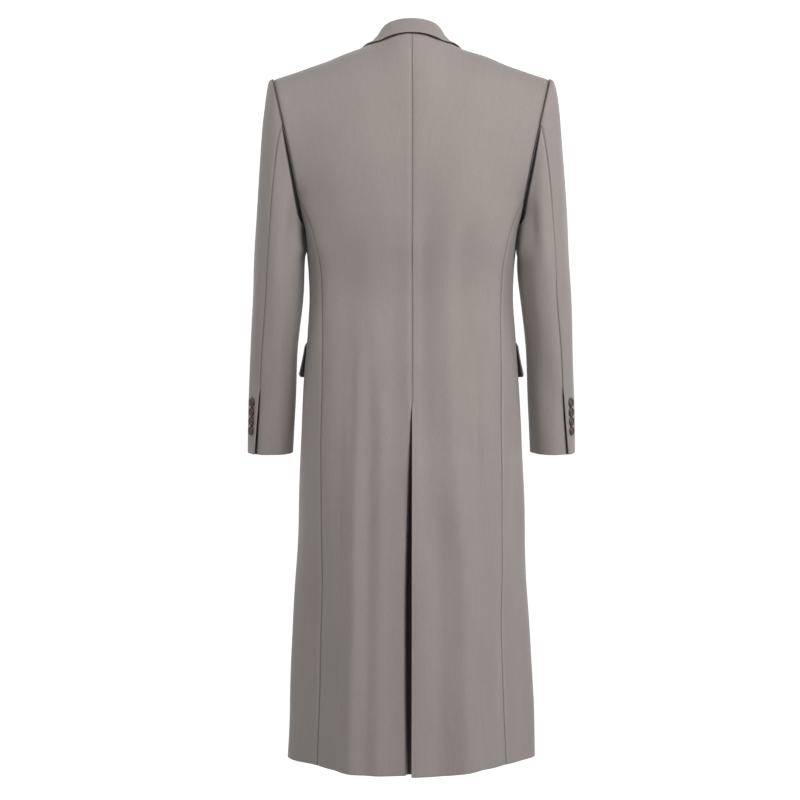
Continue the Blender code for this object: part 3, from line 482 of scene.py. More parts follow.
def ring(u, z):
    """The form below the armholes: u runs from 0 at the centre back to 6 at the centre front."""
    u, z = np.broadcast_arrays(np.asarray(u, float), np.asarray(z, float))
    places = plan_points(z)
    low = np.clip(np.floor(u).astype(int), 0, 6)
    part = (u - low)[..., None]
    before, start, end, after = (
        np.take_along_axis(places, (low + k)[None, ..., None].clip(0, len(places) - 1), axis=0)[0]
        for k in range(4)
    )
    places_and_slopes = (start, end, (end - before) / 2, (after - start) / 2)
    plan = sum(blend * value for blend, value in zip(blends(part), places_and_slopes))
    return point(plan[..., 0], plan[..., 1], z)


def rounded(face, s, rise):
    """Shoulder form before it is fitted to the armhole. face is 1 for the back and -1 for the front."""
    u = 2 * s if face > 0 else 6 - 2 * s
    low = ring(u, YOKE_Z)
    top_x = SHOULDER_HALF * s
    top_z, top_y = RIDGE_Z(np.abs(top_x)), RIDGE_Y(np.abs(top_x))
    up, out = np.sin(rise), np.clip(np.cos(rise), 0.0, 1.0) ** SHOULDER_ROUND
    return point(
        low[..., 0] + (top_x - low[..., 0]) * up,
        top_y + (low[..., 1] - top_y) * out,
        YOKE_Z + (top_z - YOKE_Z) * up,
    )


def shoulder(face, s, rise):
    """The form above the armholes: s is 0 at the middle and 1 at the armhole, rise ends at a right angle."""
    s, rise = np.broadcast_arrays(np.asarray(s, float), np.asarray(rise, float))
    turn = YOKE_DEG * (1 - rise / (math.pi / 2))
    edge = armhole(turn if face > 0 else 360.0 - turn)
    fit = edge - rounded(face, np.ones_like(s), rise)
    return rounded(face, s, rise) + np.clip(s, 0.0, None)[..., None] ** 3 * fit


def ring_normal(u, z):
    along = ring(u + STEP, z) - ring(u - STEP, z)
    up = ring(u, z + STEP) - ring(u, z - STEP)
    return unit(np.cross(up, along))


def shoulder_normal(face, s, rise):
    low = np.clip(rise - 20 * STEP, 0.0, None)
    along = shoulder(face, s + STEP, rise) - shoulder(face, s - STEP, rise)
    up = shoulder(face, s, np.maximum(rise, 20 * STEP)) - shoulder(face, s, low)
    return unit(np.cross(up, along) * face)


def front_at(x, z, off=0.0):
    """Point of the left front's form at a place seen from the front, moved out by off, and its normal."""
    x, z = np.broadcast_arrays(np.asarray(x, float), np.asarray(z, float))
    s = x / CHEST_HALF
    for _ in range(12):
        span = RIDGE_Z(np.abs(SHOULDER_HALF * s)) - YOKE_Z
        rise = np.arcsin(np.clip((z - YOKE_Z) / span, 0.0, 0.9999))
        above = (z > YOKE_Z)[..., None]
        here = np.where(above, shoulder(-1, s, rise), ring(6 - 2 * s, np.minimum(z, YOKE_Z)))
        s = s + (x - here[..., 0]) / CHEST_HALF
    normal = np.where(above, shoulder_normal(-1, s, rise), ring_normal(6 - 2 * s, np.minimum(z, YOKE_Z)))
    return here + normal * np.asarray(off)[..., None], normal


def roll_x(z):
    """The lapel's roll line, straight as seen from the front."""
    return np.interp(z, (BREAK_Z, RIDGE_Z(NECK_HALF)), (-FRONT_LAP, NECK_HALF))


CROSS_Z = float(np.interp(0.0, (-FRONT_LAP, NECK_HALF), (BREAK_Z, RIDGE_Z(NECK_HALF))))


def sleeve_point(at, degrees):
    """Point of the left sleeve: at is its ring, degrees are those of the armhole."""
    at, degrees = np.broadcast_arrays(np.asarray(at, float), np.asarray(degrees, float))
    level = {name: curve(at) for name, curve in SLEEVE_LINE.items()}
    turn = np.radians(degrees)
    fall = (1 - np.cos(turn)) / 2
    across = np.sin(turn)
    depth = np.where(across > 0, level["back"], level["front"])
    loose = ease(at / 6.0)
    full = ARMHOLE_FULLNESS + (SLEEVE_FULLNESS - ARMHOLE_FULLNESS) * loose
    y = depth * np.sign(across) * np.abs(across) ** full
    x = level["outer_x"] + (level["inner_x"] - level["outer_x"]) * fall
    z = level["outer_z"] + (level["inner_z"] - level["outer_z"]) * fall
    x = x - ARMHOLE_HOLLOW * (1 - loose) * across**2
    z = z - np.tan(np.radians(level["tilt_deg"])) * y
    return point(x, y + level["middle_y"], z)


# Folds and small unevenness


def fold_height(u, z, side):
    """How far the upright folds push the body's cloth out."""
    total = np.zeros(np.broadcast(u, z).shape)
    for fold in FOLD_TABLE:
        if fold["side"] != side:
            continue
        part = (z - fold["z_top"]) / (fold["z_foot"] - fold["z_top"])
        middle = fold["u_top"] + (fold["u_foot"] - fold["u_top"]) * part
        shown = ease((fold["z_top"] - z) / FOLD_FADE + 0.5) * ease((z - fold["z_foot"]) / FOLD_FADE + 0.5)
        total += fold["height"] * shown * bell((u - middle) / fold["width"])
    return total


def uneven(u, z, side):
    """Slight waves that keep a large panel from looking machined."""
    turn = 0.0 if side == "left" else 1.9
    return WAVE_HEIGHT * (np.sin(5.3 * u + 21.0 * z + turn) + np.sin(8.7 * u - 14.0 * z + 2.2 * turn)
                          + 0.7 * np.sin(3.1 * u + 37.0 * z + 0.6 + turn))


def sleeve_fold_height(at, degrees, side):
    """How far the soft folds push the sleeve's cloth out."""
    total = np.zeros(np.broadcast(at, degrees).shape)
    for fold in SLEEVE_FOLD_TABLE:
        if fold["side"] != side:
            continue
        along = at - fold["ring"]
        middle = fold["degrees"] + fold["lean"] * along
        total += fold["height"] * bell(along / fold["run"]) * bell((degrees - middle) / fold["spread"])
    return total


def pucker(run):
    """Uneven tightness along a seam, about 1 where it is pulled in most."""
    return 1.0 + 0.35 * np.sin(run * 310.0) * np.sin(run * 77.0 + 1.0)


# Grids and shells


def grid_normals(points):
    """Normals of a grid of points, from its own rows and columns."""
    along, across = np.gradient(points, axis=1), np.gradient(points, axis=0)
    return unit(np.cross(along, across))


def lengths(points, axis):
    """Distance along a grid's rows or columns, from its first one."""
    step = np.linalg.norm(np.diff(points, axis=axis), axis=-1)
    start = np.zeros_like(np.take(step, [0], axis=axis))
    return np.cumsum(np.concatenate([start, step], axis=axis), axis=axis)


SIDES = (("left", False), ("right", True))
MIRROR = np.array([-1.0, 1.0, 1.0])
# Painted shade on edges that are sewn to another one, in the seam's groove or in a deep crease
SEWN_EDGE_SHADE, CREASED_EDGE_SHADE = -0.45, -1.8  # tones of an edge that is sewn to another one, flat or in a deep crease
# Free edges are painted pale: a painted highlight where the pressed edge catches the light, with a little
# wear
PRESSED_EDGE = 0.0018  # width of the pale line along a free edge
RIM_TONES = np.array([[0.6, 1.0, 0.6]])
END_TONES = np.array([[1.0], [0.8], [0.5]])


def shell(outer, thick, tone=0.0, edges=(1.0, 1.0, 0.4, 1.0), under=0.0, turned=False):
    """Points, faces, map places and tones of a closed cloth shell with rounded edges.

    The grid's rows run up the cloth. A tone is above 0 where the cloth is painted pale, as a highlight along
    pressed edges with a little wear, and below 0 where it is painted dark, as shade in seams, creases and
    gaps.
    The edges' tones are those of the first, last, foot and top one, and under is the inner face's."""
    rows, columns = outer.shape[:2]
    tone = np.broadcast_to(tone, (rows, columns))
    first, last = (np.broadcast_to(edge, rows)[:, None] for edge in edges[:2])
    if turned:
        outer, tone, first, last = outer[:, ::-1], tone[:, ::-1], last, first
    normals = grid_normals(outer)
    middle = outer - normals * thick / 2
    flat = np.stack([lengths(outer, 1), lengths(outer, 0)], axis=-1)
    flat[..., 1] = flat[..., 1].mean(axis=1, keepdims=True)
    bend = np.radians([45.0, 90.0, 135.0])[None, :, None]

    def edge(column, neighbour):
        out = unit(outer[:, column] - outer[:, neighbour])[:, None]
        return (middle[:, column][:, None]
                + (normals[:, column][:, None] * np.cos(bend) + out * np.sin(bend)) * thick / 2)

    inner = outer - normals * thick
    loop = np.concatenate([outer, edge(-1, -2), inner[:, ::-1], edge(0, 1)[:, ::-1]], axis=1)
    home = np.array(list(range(columns)) + [columns - 1] * 3 + list(range(columns))[::-1] + [0] * 3)
    core, places = middle[:, home], flat[:, home]
    inside = np.full((rows, columns), under)
    tones = np.concatenate([tone, RIM_TONES * last, inside, RIM_TONES * first], axis=1)

    def close(row, neighbour):
        out = unit(outer[row] - outer[neighbour])[home]
        turns = np.radians([40.0, 70.0, 90.0])[:, None, None]
        return core[row] + (loop[row] - core[row]) * np.cos(turns) + out * np.sin(turns) * thick / 2

    points = np.concatenate([close(0, 1)[::-1], loop, close(-1, -2)])
    places = np.concatenate([places[:1]] * 3 + [places] + [places[-1:]] * 3)
    ends = np.ones((1, len(home)))
    tones = np.concatenate([END_TONES * ends * edges[2], tones, END_TONES[::-1] * ends * edges[3]])
    index = np.arange(points.shape[0] * len(home)).reshape(points.shape[:2])
    index[0], index[-1] = index[0][home], index[-1][home]
    after = np.roll(index, -1, axis=1)
    quads = np.stack([index[:-1], after[:-1], after[1:], index[1:]], axis=-1).reshape(-1, 4)
    return points.reshape(-1, 3), quads, places.reshape(-1, 2), tones.reshape(-1)


def add_object(name, data):
    made = bpy.data.objects.new(name, data)
    bpy.context.scene.collection.objects.link(made)
    return made


def new_object(name, points, faces, finish):
    """A smooth mesh object in the scene."""
    mesh = bpy.data.meshes.new(name)
    mesh.from_pydata(points, [], faces)
    mesh.shade_smooth()
    mesh.materials.append(finish)
    return add_object(name, mesh)


def add_map(mesh, places):
    """Lays the mesh out by a place in the plane for each of its points."""
    corner = np.empty(len(mesh.loops), int)
    mesh.loops.foreach_get("vertex_index", corner)
    layer = mesh.uv_layers.new(name="cloth")
    layer.data.foreach_set("uv", places[corner].astype(np.float32).ravel())


def make_mesh(name, parts, finish, mirrored=False):
    """One object from shells."""
    shift = np.cumsum([0] + [len(part[0]) for part in parts])
    points, places, tones = (np.concatenate([part[k] for part in parts]) for k in (0, 2, 3))
    quads = np.concatenate([part[1] + start for part, start in zip(parts, shift)])
    if mirrored:
        points = points * MIRROR
        quads = quads[:, ::-1]
    faces = []
    for quad in quads.tolist():
        face = [k for k, before in zip(quad, quad[-1:] + quad[:-1]) if k != before]
        if len(set(face)) > 2:
            faces.append(face)
    used = np.unique(np.concatenate([np.array(face) for face in faces]))
    place = np.full(len(points), -1)
    place[used] = np.arange(len(used))
    faces = [[int(place[k]) for k in face] for face in faces]
    made = new_object(name, points[used].tolist(), faces, finish)
    add_map(made.data, places[used])
    attribute = made.data.attributes.new("tone", "FLOAT", "POINT")
    attribute.data.foreach_set("value", tones[used].astype(np.float32))
    return made


def pulled_in(points, sides, by):
    """Moves the named sides of a grid into the panel, so that its rounded edge ends on the seam line."""
    out = points.copy()
    if "first" in sides:
        out[:, 0] += unit(points[:, 1] - points[:, 0]) * by
    if "last" in sides:
        out[:, -1] += unit(points[:, -2] - points[:, -1]) * by
    if "top" in sides:
        out[-1] += unit(points[-2] - points[-1]) * by
    return out


TOUCH = 0.0001  # how far two seamed edges press into each other
HEM_STEPS = (0.0, 0.003, 0.008, 0.016)
ROW_PITCH = 0.0085
NEAR_EDGE = (0.0, 0.0010, 0.0020, 0.0031, 0.0044, 0.0060, 0.0080, 0.0105, 0.0140, 0.0190, 0.0260)
BEFORE_SEAM = (0.110, 0.075, 0.048, 0.028, 0.012)
U_BEFORE_SEAM = 0.45 / 0.085  # how far u runs in a metre just before the side-back seam
SHOULDER_ROWS = 34


def body_heights():
    """Heights of the rows from the hem to the yoke, closer together at the hem and at the top of the vent."""
    low = [HEM_Z + step for step in HEM_STEPS]
    count = round((VENT_TOP_Z - low[-1]) / ROW_PITCH)
    middle = list(np.linspace(low[-1], VENT_TOP_Z, count + 1))[1:]
    fine = [VENT_TOP_Z + step for step in (-0.0045, 0.004, 0.009)]
    high = list(np.linspace(fine[-1], YOKE_Z, round((YOKE_Z - fine[-1]) / ROW_PITCH) + 1))[1:]
    return np.array(sorted(low + middle + fine + high))


def side_gaps(points):
    """Distance of each point of a grid from its row's first and last one."""
    run = lengths(points, 1)
    return run, run[:, -1:] - run


DIP_WIDTH = 0.0030
BULGE, BULGE_OFF, BULGE_WIDTH = 0.00035, 0.009, 0.003  # where the centre seam's turnings end under the cloth


def seam_dip(gap, run, depth):
    """How far the cloth is pulled in beside a seam."""
    return -depth * pucker(run) * bell(gap / DIP_WIDTH)


def seam_shade_and_highlight(gap, dark=0.35, pale=0.14):
    """Painted shade in a seam's groove, and a little painted highlight where the seam's layers under the
    cloth end and raise it.
    """
    return pale * bell((gap - 0.0050) / 0.0024) - dark * bell(gap / 0.0009)


def vent_open(z):
    """How far the vent has opened at a height, from 0 at its top to 1."""
    return ease((VENT_TOP_Z - z) / VENT_OPENING_RUN) ** 0.7


def body_off(u, z, side, cloth):
    """Folds and unevenness of the body, none of them beside the armholes."""
    near_armhole = ease((z + 0.37) / 0.08) * ease((u - 1.2) / 0.5) * ease((4.8 - u) / 0.5)
    return (fold_height(u, z, side) + uneven(u, z, side)) * (1 - near_armhole) * cloth.folds


def hem_lift(u, z, side):
    """How far the cloth hangs above the level hem."""
    return ease((HEM_Z + HEM_RUN - z) / HEM_RUN) * HEM_LINE[side](u)


def underlap_shell(z, cloth):
    """The strip of the left back that goes on under the right one, from the hem to the top of the vent,
    painted dark as the vent's shade.
    """
    level = z[z < VENT_TOP_Z - 0.002][:, None]
    x = np.linspace(-UNDERLAP, 0.0, 9)[None, :] + VENT["width"](level) + VENT_GRIP
    mirror = np.stack([np.sign(x), np.ones_like(x), np.ones_like(x)], axis=-1)
    u = np.abs(x) / SECTION["blade_x"](level)
    sink = np.maximum(VENT["depth"](level) + UNDERLAP_CLEAR, UNDERLAP_SINK)
    points = (ring(u, level) - ring_normal(u, level) * sink[..., None]) * mirror
    points[..., 2] += hem_lift(0.0, level, "left")
    return shell(points, cloth.thickness, UNDERLAP_PAINTED_SHADE, UNDERLAP_EDGE_SHADES, turned=True)


def back_shells(side, cloth):
    """The back from the hem to the shoulder seam and neck, and the left one's underlap in the vent."""
    thick = cloth.thickness
    pull = thick / 2 - TOUCH
    right = side == "right"
    z = body_heights()
    below = ease((VENT_TOP_Z + 0.004 - z) / 0.010)
    edge = VENT_EDGE if right else np.maximum(pull, VENT["width"](z) - VENT_GRIP)
    edge = edge * below + pull * (1 - below)
    blade = SECTION["blade_x"](z)
    near = (edge[:, None] + np.array(NEAR_EDGE)[None, :]) / blade[:, None]
    far = 2 - np.array(BEFORE_SEAM) * U_BEFORE_SEAM
    between = np.linspace(0.0, 1.0, 24)[1:-1]
    span = near[:, -1:] + (far[0] - near[:, -1:]) * between[None, :]
    u = np.concatenate([near, span, np.tile(far, (len(z), 1)), np.full((len(z), 1), 2.0)], axis=1)
    level, below, opened = z[:, None], below[:, None], vent_open(z)[:, None]
    points = ring(u, level)
    x = points[..., 0]
    first, last = side_gaps(points)
    off = body_off(u, level, side, cloth) + seam_dip(last, level, cloth.seam_depth)
    bulge = BULGE * bell((x - BULGE_OFF) / BULGE_WIDTH)
    off = off + (seam_dip(first, level, cloth.seam_depth) + bulge) * (1 - below)
    # Painted shade along the seams, and painted highlight where their layers end
    tone = seam_shade_and_highlight(last) + seam_shade_and_highlight(first) * (1 - below)
    if right:
        off = off + VENT_LIFT * opened * (1 - ease(x / VENT_LIFT_WIDTH))
        off = off - EDGE_GROOVE * bell((x - EDGE_GROOVE_OFF) / EDGE_GROOVE_WIDTH) * below
        # Painted highlight along the right back's pressed vent edge, and painted shade in the small groove
        # beside it
        tone = tone + (0.5 * bell(first / 0.0020) - 0.22 * bell((first - 0.0040) / 0.0008)) * below
    else:
        width, depth = VENT["width"](z)[:, None], VENT["depth"](z)[:, None]
        rolled = 1 - ease((x - width + VENT_GRIP) / VENT_ROLL)
        off = off - depth * below * rolled
        # Painted shade where the left back rolls into the vent's gap
        tone = tone - VENT_ROLL_PAINTED_SHADE * below * rolled**2
    low = points + ring_normal(u, level) * off[..., None]
    low[..., 2] += hem_lift(u, level, side)

    s = u[-1:] / 2
    neck_rise = math.asin((NECK_BACK_Z - YOKE_Z) / (RIDGE_Z(0.0) - YOKE_Z))
    top = neck_rise + (math.pi / 2 - neck_rise) * np.clip(s * SHOULDER_HALF / NECK_HALF, 0.0, 1.0) ** 2
    rise = np.linspace(0.0, 1.0, SHOULDER_ROWS + 1)[1:, None] * top
    high = shoulder(1, s, rise)
    height = high[..., 2]
    first, last = side_gaps(high)
    off = (body_off(2 * s, height, side, cloth) * (1 - ease((s - 0.6) / 0.3))
           + seam_dip(last, height, cloth.seam_depth) + seam_dip(first, height, cloth.seam_depth)
           + BULGE * bell((high[..., 0] - BULGE_OFF) / BULGE_WIDTH))
    tone = np.concatenate([tone, seam_shade_and_highlight(last) + seam_shade_and_highlight(first)])
    points = np.concatenate([low, high + shoulder_normal(1, s, rise) * off[..., None]])
    points = pulled_in(points, ("last", "top"), pull)
    lean = CENTRE_LEAN * np.interp(points[..., 2], (HEM_Z, CENTRE_LEAN_Z), (0.0, 1.0))
    lean = lean * (1 - ease(points[..., 0] / CENTRE_LEAN_WIDTH))
    points[..., 0] += lean if right else -lean
    # The centre edge: painted shade where it is sewn, and below the vent's top the vent edge's painted light,
    # dark on the left and pale on the right
    vent_edge = SEWN_EDGE_SHADE + below[:, 0] * (VENT_EDGE_PAINTED_LIGHT[side] - SEWN_EDGE_SHADE)
    centre = np.concatenate([vent_edge, np.full(SHOULDER_ROWS, SEWN_EDGE_SHADE)])
    parts = [shell(points, thick, tone, (centre, SEWN_EDGE_SHADE, 0.4, SEWN_EDGE_SHADE), turned=True)]
    return parts if right else parts + [underlap_shell(z, cloth)]


def side_shell(side, cloth):
    """Panel under the arm, from the hem to the lower curve of the armhole."""
    pull = cloth.thickness / 2 - TOUCH
    edges = np.array((0.0, 0.05, 0.10, 0.18, 0.30))
    u = np.concatenate([2 + edges, np.linspace(2.30, 3.70, 16)[1:-1], 4 - edges[::-1]])
    z = body_heights()
    degrees = YOKE_DEG + (u - 2) / 2 * (360.0 - 2 * YOKE_DEG)
    rim = armhole(degrees)
    part = np.clip((z - WAIST_Z) / (YOKE_Z - WAIST_Z), 0.0, 1.0)[:, None]
    reach = np.where(part > 0, WAIST_Z + part * (rim[None, :, 2] - WAIST_Z), z[:, None])
    grid_u = np.broadcast_to(u, reach.shape)
    points = ring(grid_u, reach)
    points = points + part[..., None] ** 2 * (rim - points[-1])[None]
    first, last = side_gaps(points)
    rim = lengths(points, 0)
    rim = rim[-1:] - rim
    gap = np.minimum(first, last)
    off = body_off(grid_u, reach, side, cloth) + seam_dip(gap, reach, cloth.seam_depth)
    # Painted shade along the seams and, darker, along the armhole, with painted highlights beside the seams
    # where their layers end
    tone = seam_shade_and_highlight(first, 0.5, 0.7) + seam_shade_and_highlight(last, 0.5, 0.7) + seam_shade_and_highlight(rim, 0.8)
    points = points + ring_normal(grid_u, reach) * off[..., None]
    points[..., 2] += hem_lift(grid_u, reach, side)
    points = pulled_in(points, ("first", "last", "top"), pull)
    return shell(points, cloth.thickness, tone, (SEWN_EDGE_SHADE, SEWN_EDGE_SHADE, 0.4, SEWN_EDGE_SHADE), turned=True)


def front_shell(side, cloth):
    """Front from the hem to the shoulder, cut away along the roll line. The left one lies on the right."""
    pull = cloth.thickness / 2 - TOUCH
    z = body_heights()
    steps = np.concatenate([(0.0, 0.008, 0.018, 0.032), np.linspace(0.05, 0.90, 26),
                            (0.93, 0.955, 0.975, 0.99, 1.0)])
    samples = np.linspace(-0.12, 1.0, 449)
    edge_s = np.empty(len(z))
    for k, height in enumerate(z):
        x = ring(6 - 2 * samples, height)[:, 0]
        inner = roll_x(height) if height > BREAK_Z else x[np.argmin(np.abs(samples - (6 - FRONT_LAP_U) / 2))]
        edge_s[k] = np.interp(inner, x, samples)
    s = edge_s[:, None] + (1 - edge_s[:, None]) * steps
    u, level = 6 - 2 * s, z[:, None]
    low = ring(u, level)
    _, last = side_gaps(low)
    off = body_off(u, level, side, cloth) + seam_dip(last, level, cloth.seam_depth)
    # Painted shade along the side seam, and painted highlight where its layers end
    tone = seam_shade_and_highlight(last)
    low = low + ring_normal(u, level) * off[..., None]
    low[..., 2] += hem_lift(u, level, side)
    high = []
    for rise in np.linspace(0.0, math.pi / 2, SHOULDER_ROWS + 1)[1:]:
        line = shoulder(-1, samples, rise)
        at = np.interp(0.0, line[:, 0] - roll_x(line[:, 2]), samples)
        s = at + (1 - at) * steps
        row = shoulder(-1, s, rise)
        _, last = side_gaps(row[None])
        off = (body_off(6 - 2 * s, row[:, 2], side, cloth) * (1 - ease((s - 0.6) / 0.3))
               + seam_dip(last[0], row[:, 2], cloth.seam_depth))
        tone = np.concatenate([tone, seam_shade_and_highlight(last)])
        high.append(row + shoulder_normal(-1, s, np.full_like(s, rise)) * off[:, None])
    points = np.concatenate([low, np.stack(high)])
    if side == "right":
        under = ease((CROSS_Z + CROSS_FADE - points[..., 2]) / CROSS_FADE)
        inset = (cloth.thickness + 0.0007) * under * (1 - ease((points[..., 0] - FRONT_LAP) / FRONT_FADE))
        points = points - grid_normals(points) * inset[..., None]
    points = pulled_in(points, ("last", "top"), pull)
    return shell(points, cloth.thickness, tone, (1.0, SEWN_EDGE_SHADE, 0.4, SEWN_EDGE_SHADE))


def sleeve_surface(at, degrees, side, cloth):
    """The sleeve's outer face with its folds, and the fullness that rolls over the armhole seam."""
    points = sleeve_point(at, degrees)
    high, low = np.clip(at + STEP * 10, 0, CUFF_RING), np.clip(at - STEP * 10, 0, CUFF_RING)
    along = sleeve_point(high, degrees) - sleeve_point(low, degrees)
    around = sleeve_point(at, degrees + 0.05) - sleeve_point(at, degrees - 0.05)
    normal = unit(np.cross(along, around))
    from_top = (degrees + 180) % 360 - 180
    head, below = bell(from_top / 75.0), bell((degrees % 360 - 180.0) / 60.0)
    waves = uneven(degrees / 60.0, at / 20.0, side) * 0.8
    off = (sleeve_fold_height(at, degrees % 360, side) + waves) * cloth.folds
    off = off + FULLNESS[f"{side}_outer"](at) * bell(from_top / 60.0) + FULLNESS[f"{side}_inner"](at) * below
    off = off * ease(at / 1.5) + SLEEVE_HEAD_ROLL * head * bell((at - 0.55) / 0.45)
    start, full, fade, end = SLEEVE_REST_RINGS[side]
    rest = ease((at - start) / (full - start)) * ease((end - at) / (end - fade))
    points[..., 0] -= SLEEVE_REST * rest * bell((degrees % 360 - SLEEVE_REST_DEG) / SLEEVE_REST_SPREAD)
    return points, normal, off


SLEEVE_RINGS = 84
SLIT_ROLL = {"top": 0.0024, "under": -0.0012}
# At the cuff slit the top sleeve's edge gets a painted highlight and the under sleeve painted shade
SLIT_PAINTED_LIGHT = {"top": 0.35, "under": -0.40}
SLIT_EDGE_PAINTED_LIGHT = {"top": 0.8, "under": -0.6}


def crease(at, degrees, head):
    """How deep each place of a sleeve lies in the crease beside the armhole, from 0 to 1, which sets its
    painted shade.
    """
    degrees = degrees % 360
    width = np.interp(degrees, CREASE_DEG, CREASE_WIDTH)
    ends = ease((CREASE_END_DEG - degrees) / 20.0)
    beside = ease((degrees - CREASE_DEG[0] + 4.0) / 12.0) * (1 - ease((head - 0.35 * width) / (0.65 * width)))
    start, full, fade, end = CREASE_UNDER_RINGS
    inner = (ease((degrees - CREASE_UNDER_DEG) / 20.0) * ease((at - start) / (full - start))
             * ease((end - at) / (end - fade)))
    return np.maximum(beside, inner) * ends


def sleeve_shells(side, cloth):
    """Top sleeve outside the arm and under sleeve inside it. The cuff is open along the back seam."""
    thick = cloth.thickness
    pull = thick / 2 - TOUCH
    rings = np.concatenate([np.linspace(0.0, 2.0, 15), np.linspace(2.0, 13.9, SLEEVE_RINGS - 15)[1:],
                            [13.97, CUFF_RING]])
    at = rings[::-1, None]
    back, front = SLEEVE_LINE["back_seam_deg"](at), SLEEVE_LINE["front_seam_deg"](at)
    slit = ease((CUFF_SLIT_Z - sleeve_point(at, back)[..., 2]) / CUFF_SLIT_RUN)
    opening = np.clip((at - 12.2) / 1.8, 0.0, 1.0) * slit
    edges = np.array((0.0, 0.022, 0.045, 0.08))
    steps = np.concatenate([edges, np.linspace(0.08, 0.92, 26)[1:-1], 1 - edges[::-1]])
    shells = {}
    for name, start, end in (("top", front, back + 360.0 - CUFF_SLIT_DEG[0] * opening),
                             ("under", back + CUFF_SLIT_DEG[1] * opening, front)):
        degrees = start + (end - start) * steps
        points, normal, off = sleeve_surface(np.broadcast_to(at, degrees.shape), degrees, side, cloth)
        first, last = side_gaps(points)
        head = lengths(points, 0)
        head = head[-1:] - head
        at_back, at_front = (last, first) if name == "top" else (first, last)
        off = off + seam_dip(at_front, at * 0.05, cloth.seam_depth)
        off = off + seam_dip(at_back, at * 0.05, cloth.seam_depth) * (1 - slit)
        off = off + SLIT_ROLL[name] * slit * bell(at_back / 0.010)
        # Painted shade along the seams and the armhole and in the crease beside it; at the cuff slit a
        # painted highlight on the top sleeve's edge and painted shade on the under sleeve
        tone = seam_shade_and_highlight(at_front) + seam_shade_and_highlight(head, 0.8) + seam_shade_and_highlight(at_back) * (1 - slit)
        tone = tone + SLIT_PAINTED_LIGHT[name] * slit * bell(at_back / 0.0022)
        tone = tone - CREASE_PAINTED_SHADE * crease(at, degrees, head)
        points = pulled_in(points + normal * off[..., None], ("first", "last", "top"), pull)
        open_edge = SEWN_EDGE_SHADE + slit[:, 0] * (SLIT_EDGE_PAINTED_LIGHT[name] - SEWN_EDGE_SHADE)
        edge_tones = (SEWN_EDGE_SHADE, open_edge) if name == "top" else (open_edge, SEWN_EDGE_SHADE)
        shells[name] = [shell(points, thick, tone, (*edge_tones, 0.4, CREASED_EDGE_SHADE))]
    rows = slit[:, 0] > 0.02
    degrees = (back + np.linspace(*PLACKET_DEG, 7))[rows]
    points, normal, off = sleeve_surface(np.broadcast_to(at[rows], degrees.shape), degrees, side, cloth)
    points = points + normal * (off - PLACKET_DROP)[..., None]
    points[0, :, 2] -= PLACKET_LONGER
    # The placket under the slit, painted dark as the slit's shade
    shells["under"].append(shell(points, PLACKET_CLOTH, PLACKET_PAINTED_SHADE, UNDERLAP_EDGE_SHADES))
    return {f"sleeve_{name}": parts for name, parts in shells.items()}


COLLAR_TURN = 0.0030
COLLAR_CLOTH = 0.0017
COLLAR_FELT = 0.0011
COLLAR_CLEAR = 0.0032
COLLAR_BITE = 0.002  # how far the neck seam goes into the shoulders' form
# How far the dark felt shows past the fall's edge: the line it makes also stands for the shadow under the
# edge, as painted shade
FELT_SHADE_SHOWS, FELT_SHADE_SHOWS_LEFT, FELT_LEFT_RUN = 0.0013, 0.0009, 0.04


def body_tree():
    """Search tree of the left half of the shoulders' form, with its faces outwards."""
    s, rise = np.meshgrid(np.linspace(-0.08, 1.0, 55), np.linspace(0.0, math.pi / 2 * 0.995, 46))
    points, faces = [], []
    for face in (1, -1):
        grid = shoulder(face, s, rise)
        index = np.arange(s.size).reshape(s.shape) + len(points)
        a, b, c, d = index[:-1, :-1], index[:-1, 1:], index[1:, 1:], index[1:, :-1]
        quads = np.stack([a, d, c, b] if face > 0 else [a, b, c, d], axis=-1)
        points += [tuple(place) for place in grid.reshape(-1, 3)]
        faces += quads.reshape(-1, 4).tolist()
    return BVHTree.FromPolygons(points, faces)


def clear_of_body(points, clearance):
    """Moves the points of a grid out until each row has its clearance from the shoulders' form."""
    tree, moved = body_tree(), points.copy()
    for row, column in np.ndindex(points.shape[:2]):
        x, y, z = points[row, column]
        place, normal, _, _ = tree.find_nearest((abs(x), y, z))
        gap = (abs(x) - place.x) * normal.x + (y - place.y) * normal.y + (z - place.z) * normal.z
        push = max(0.0, clearance[row] - gap)
        moved[row, column] += (math.copysign(normal.x, x) * push, normal.y * push, normal.z * push)
    return moved


def collar_lines(runs):
    """Lines along the collar, from its outer edge over the fold to the neck seam, at places along its run."""
    rows = [dict(zip(COLLAR_COLUMNS, row)) for row in COLLAR]
    half = [row["run"] for row in rows]
    both = [-run for run in half[:0:-1]] + half

    def track(part):
        side = np.array([[row[f"{part}_x"], row[f"{part}_y"], row[f"{part}_z"]] for row in rows])
        return Smooth(both, np.concatenate([side[:0:-1] * MIRROR, side]))

    seam, fold, edge = (track(part)(runs) for part in ("seam", "fold", "edge"))
    away, climb = unit(edge - fold), unit(fold - seam)
    crest = unit(fold - (seam + edge) / 2)
    turn = COLLAR_TURN
    return np.stack((
        edge,
        edge + (fold - edge) * 0.33 + crest * 0.0010,
        edge + (fold - edge) * 0.66 + crest * 0.0014,
        fold + away * turn * 1.3 + crest * 0.0002,
        fold,
        fold - climb * turn * 1.3 - away * turn * 0.9 - crest * 0.0002,
        seam + (fold - seam) * 0.45 - away * turn * 0.6,
        seam - away * turn * 0.2,
    ))


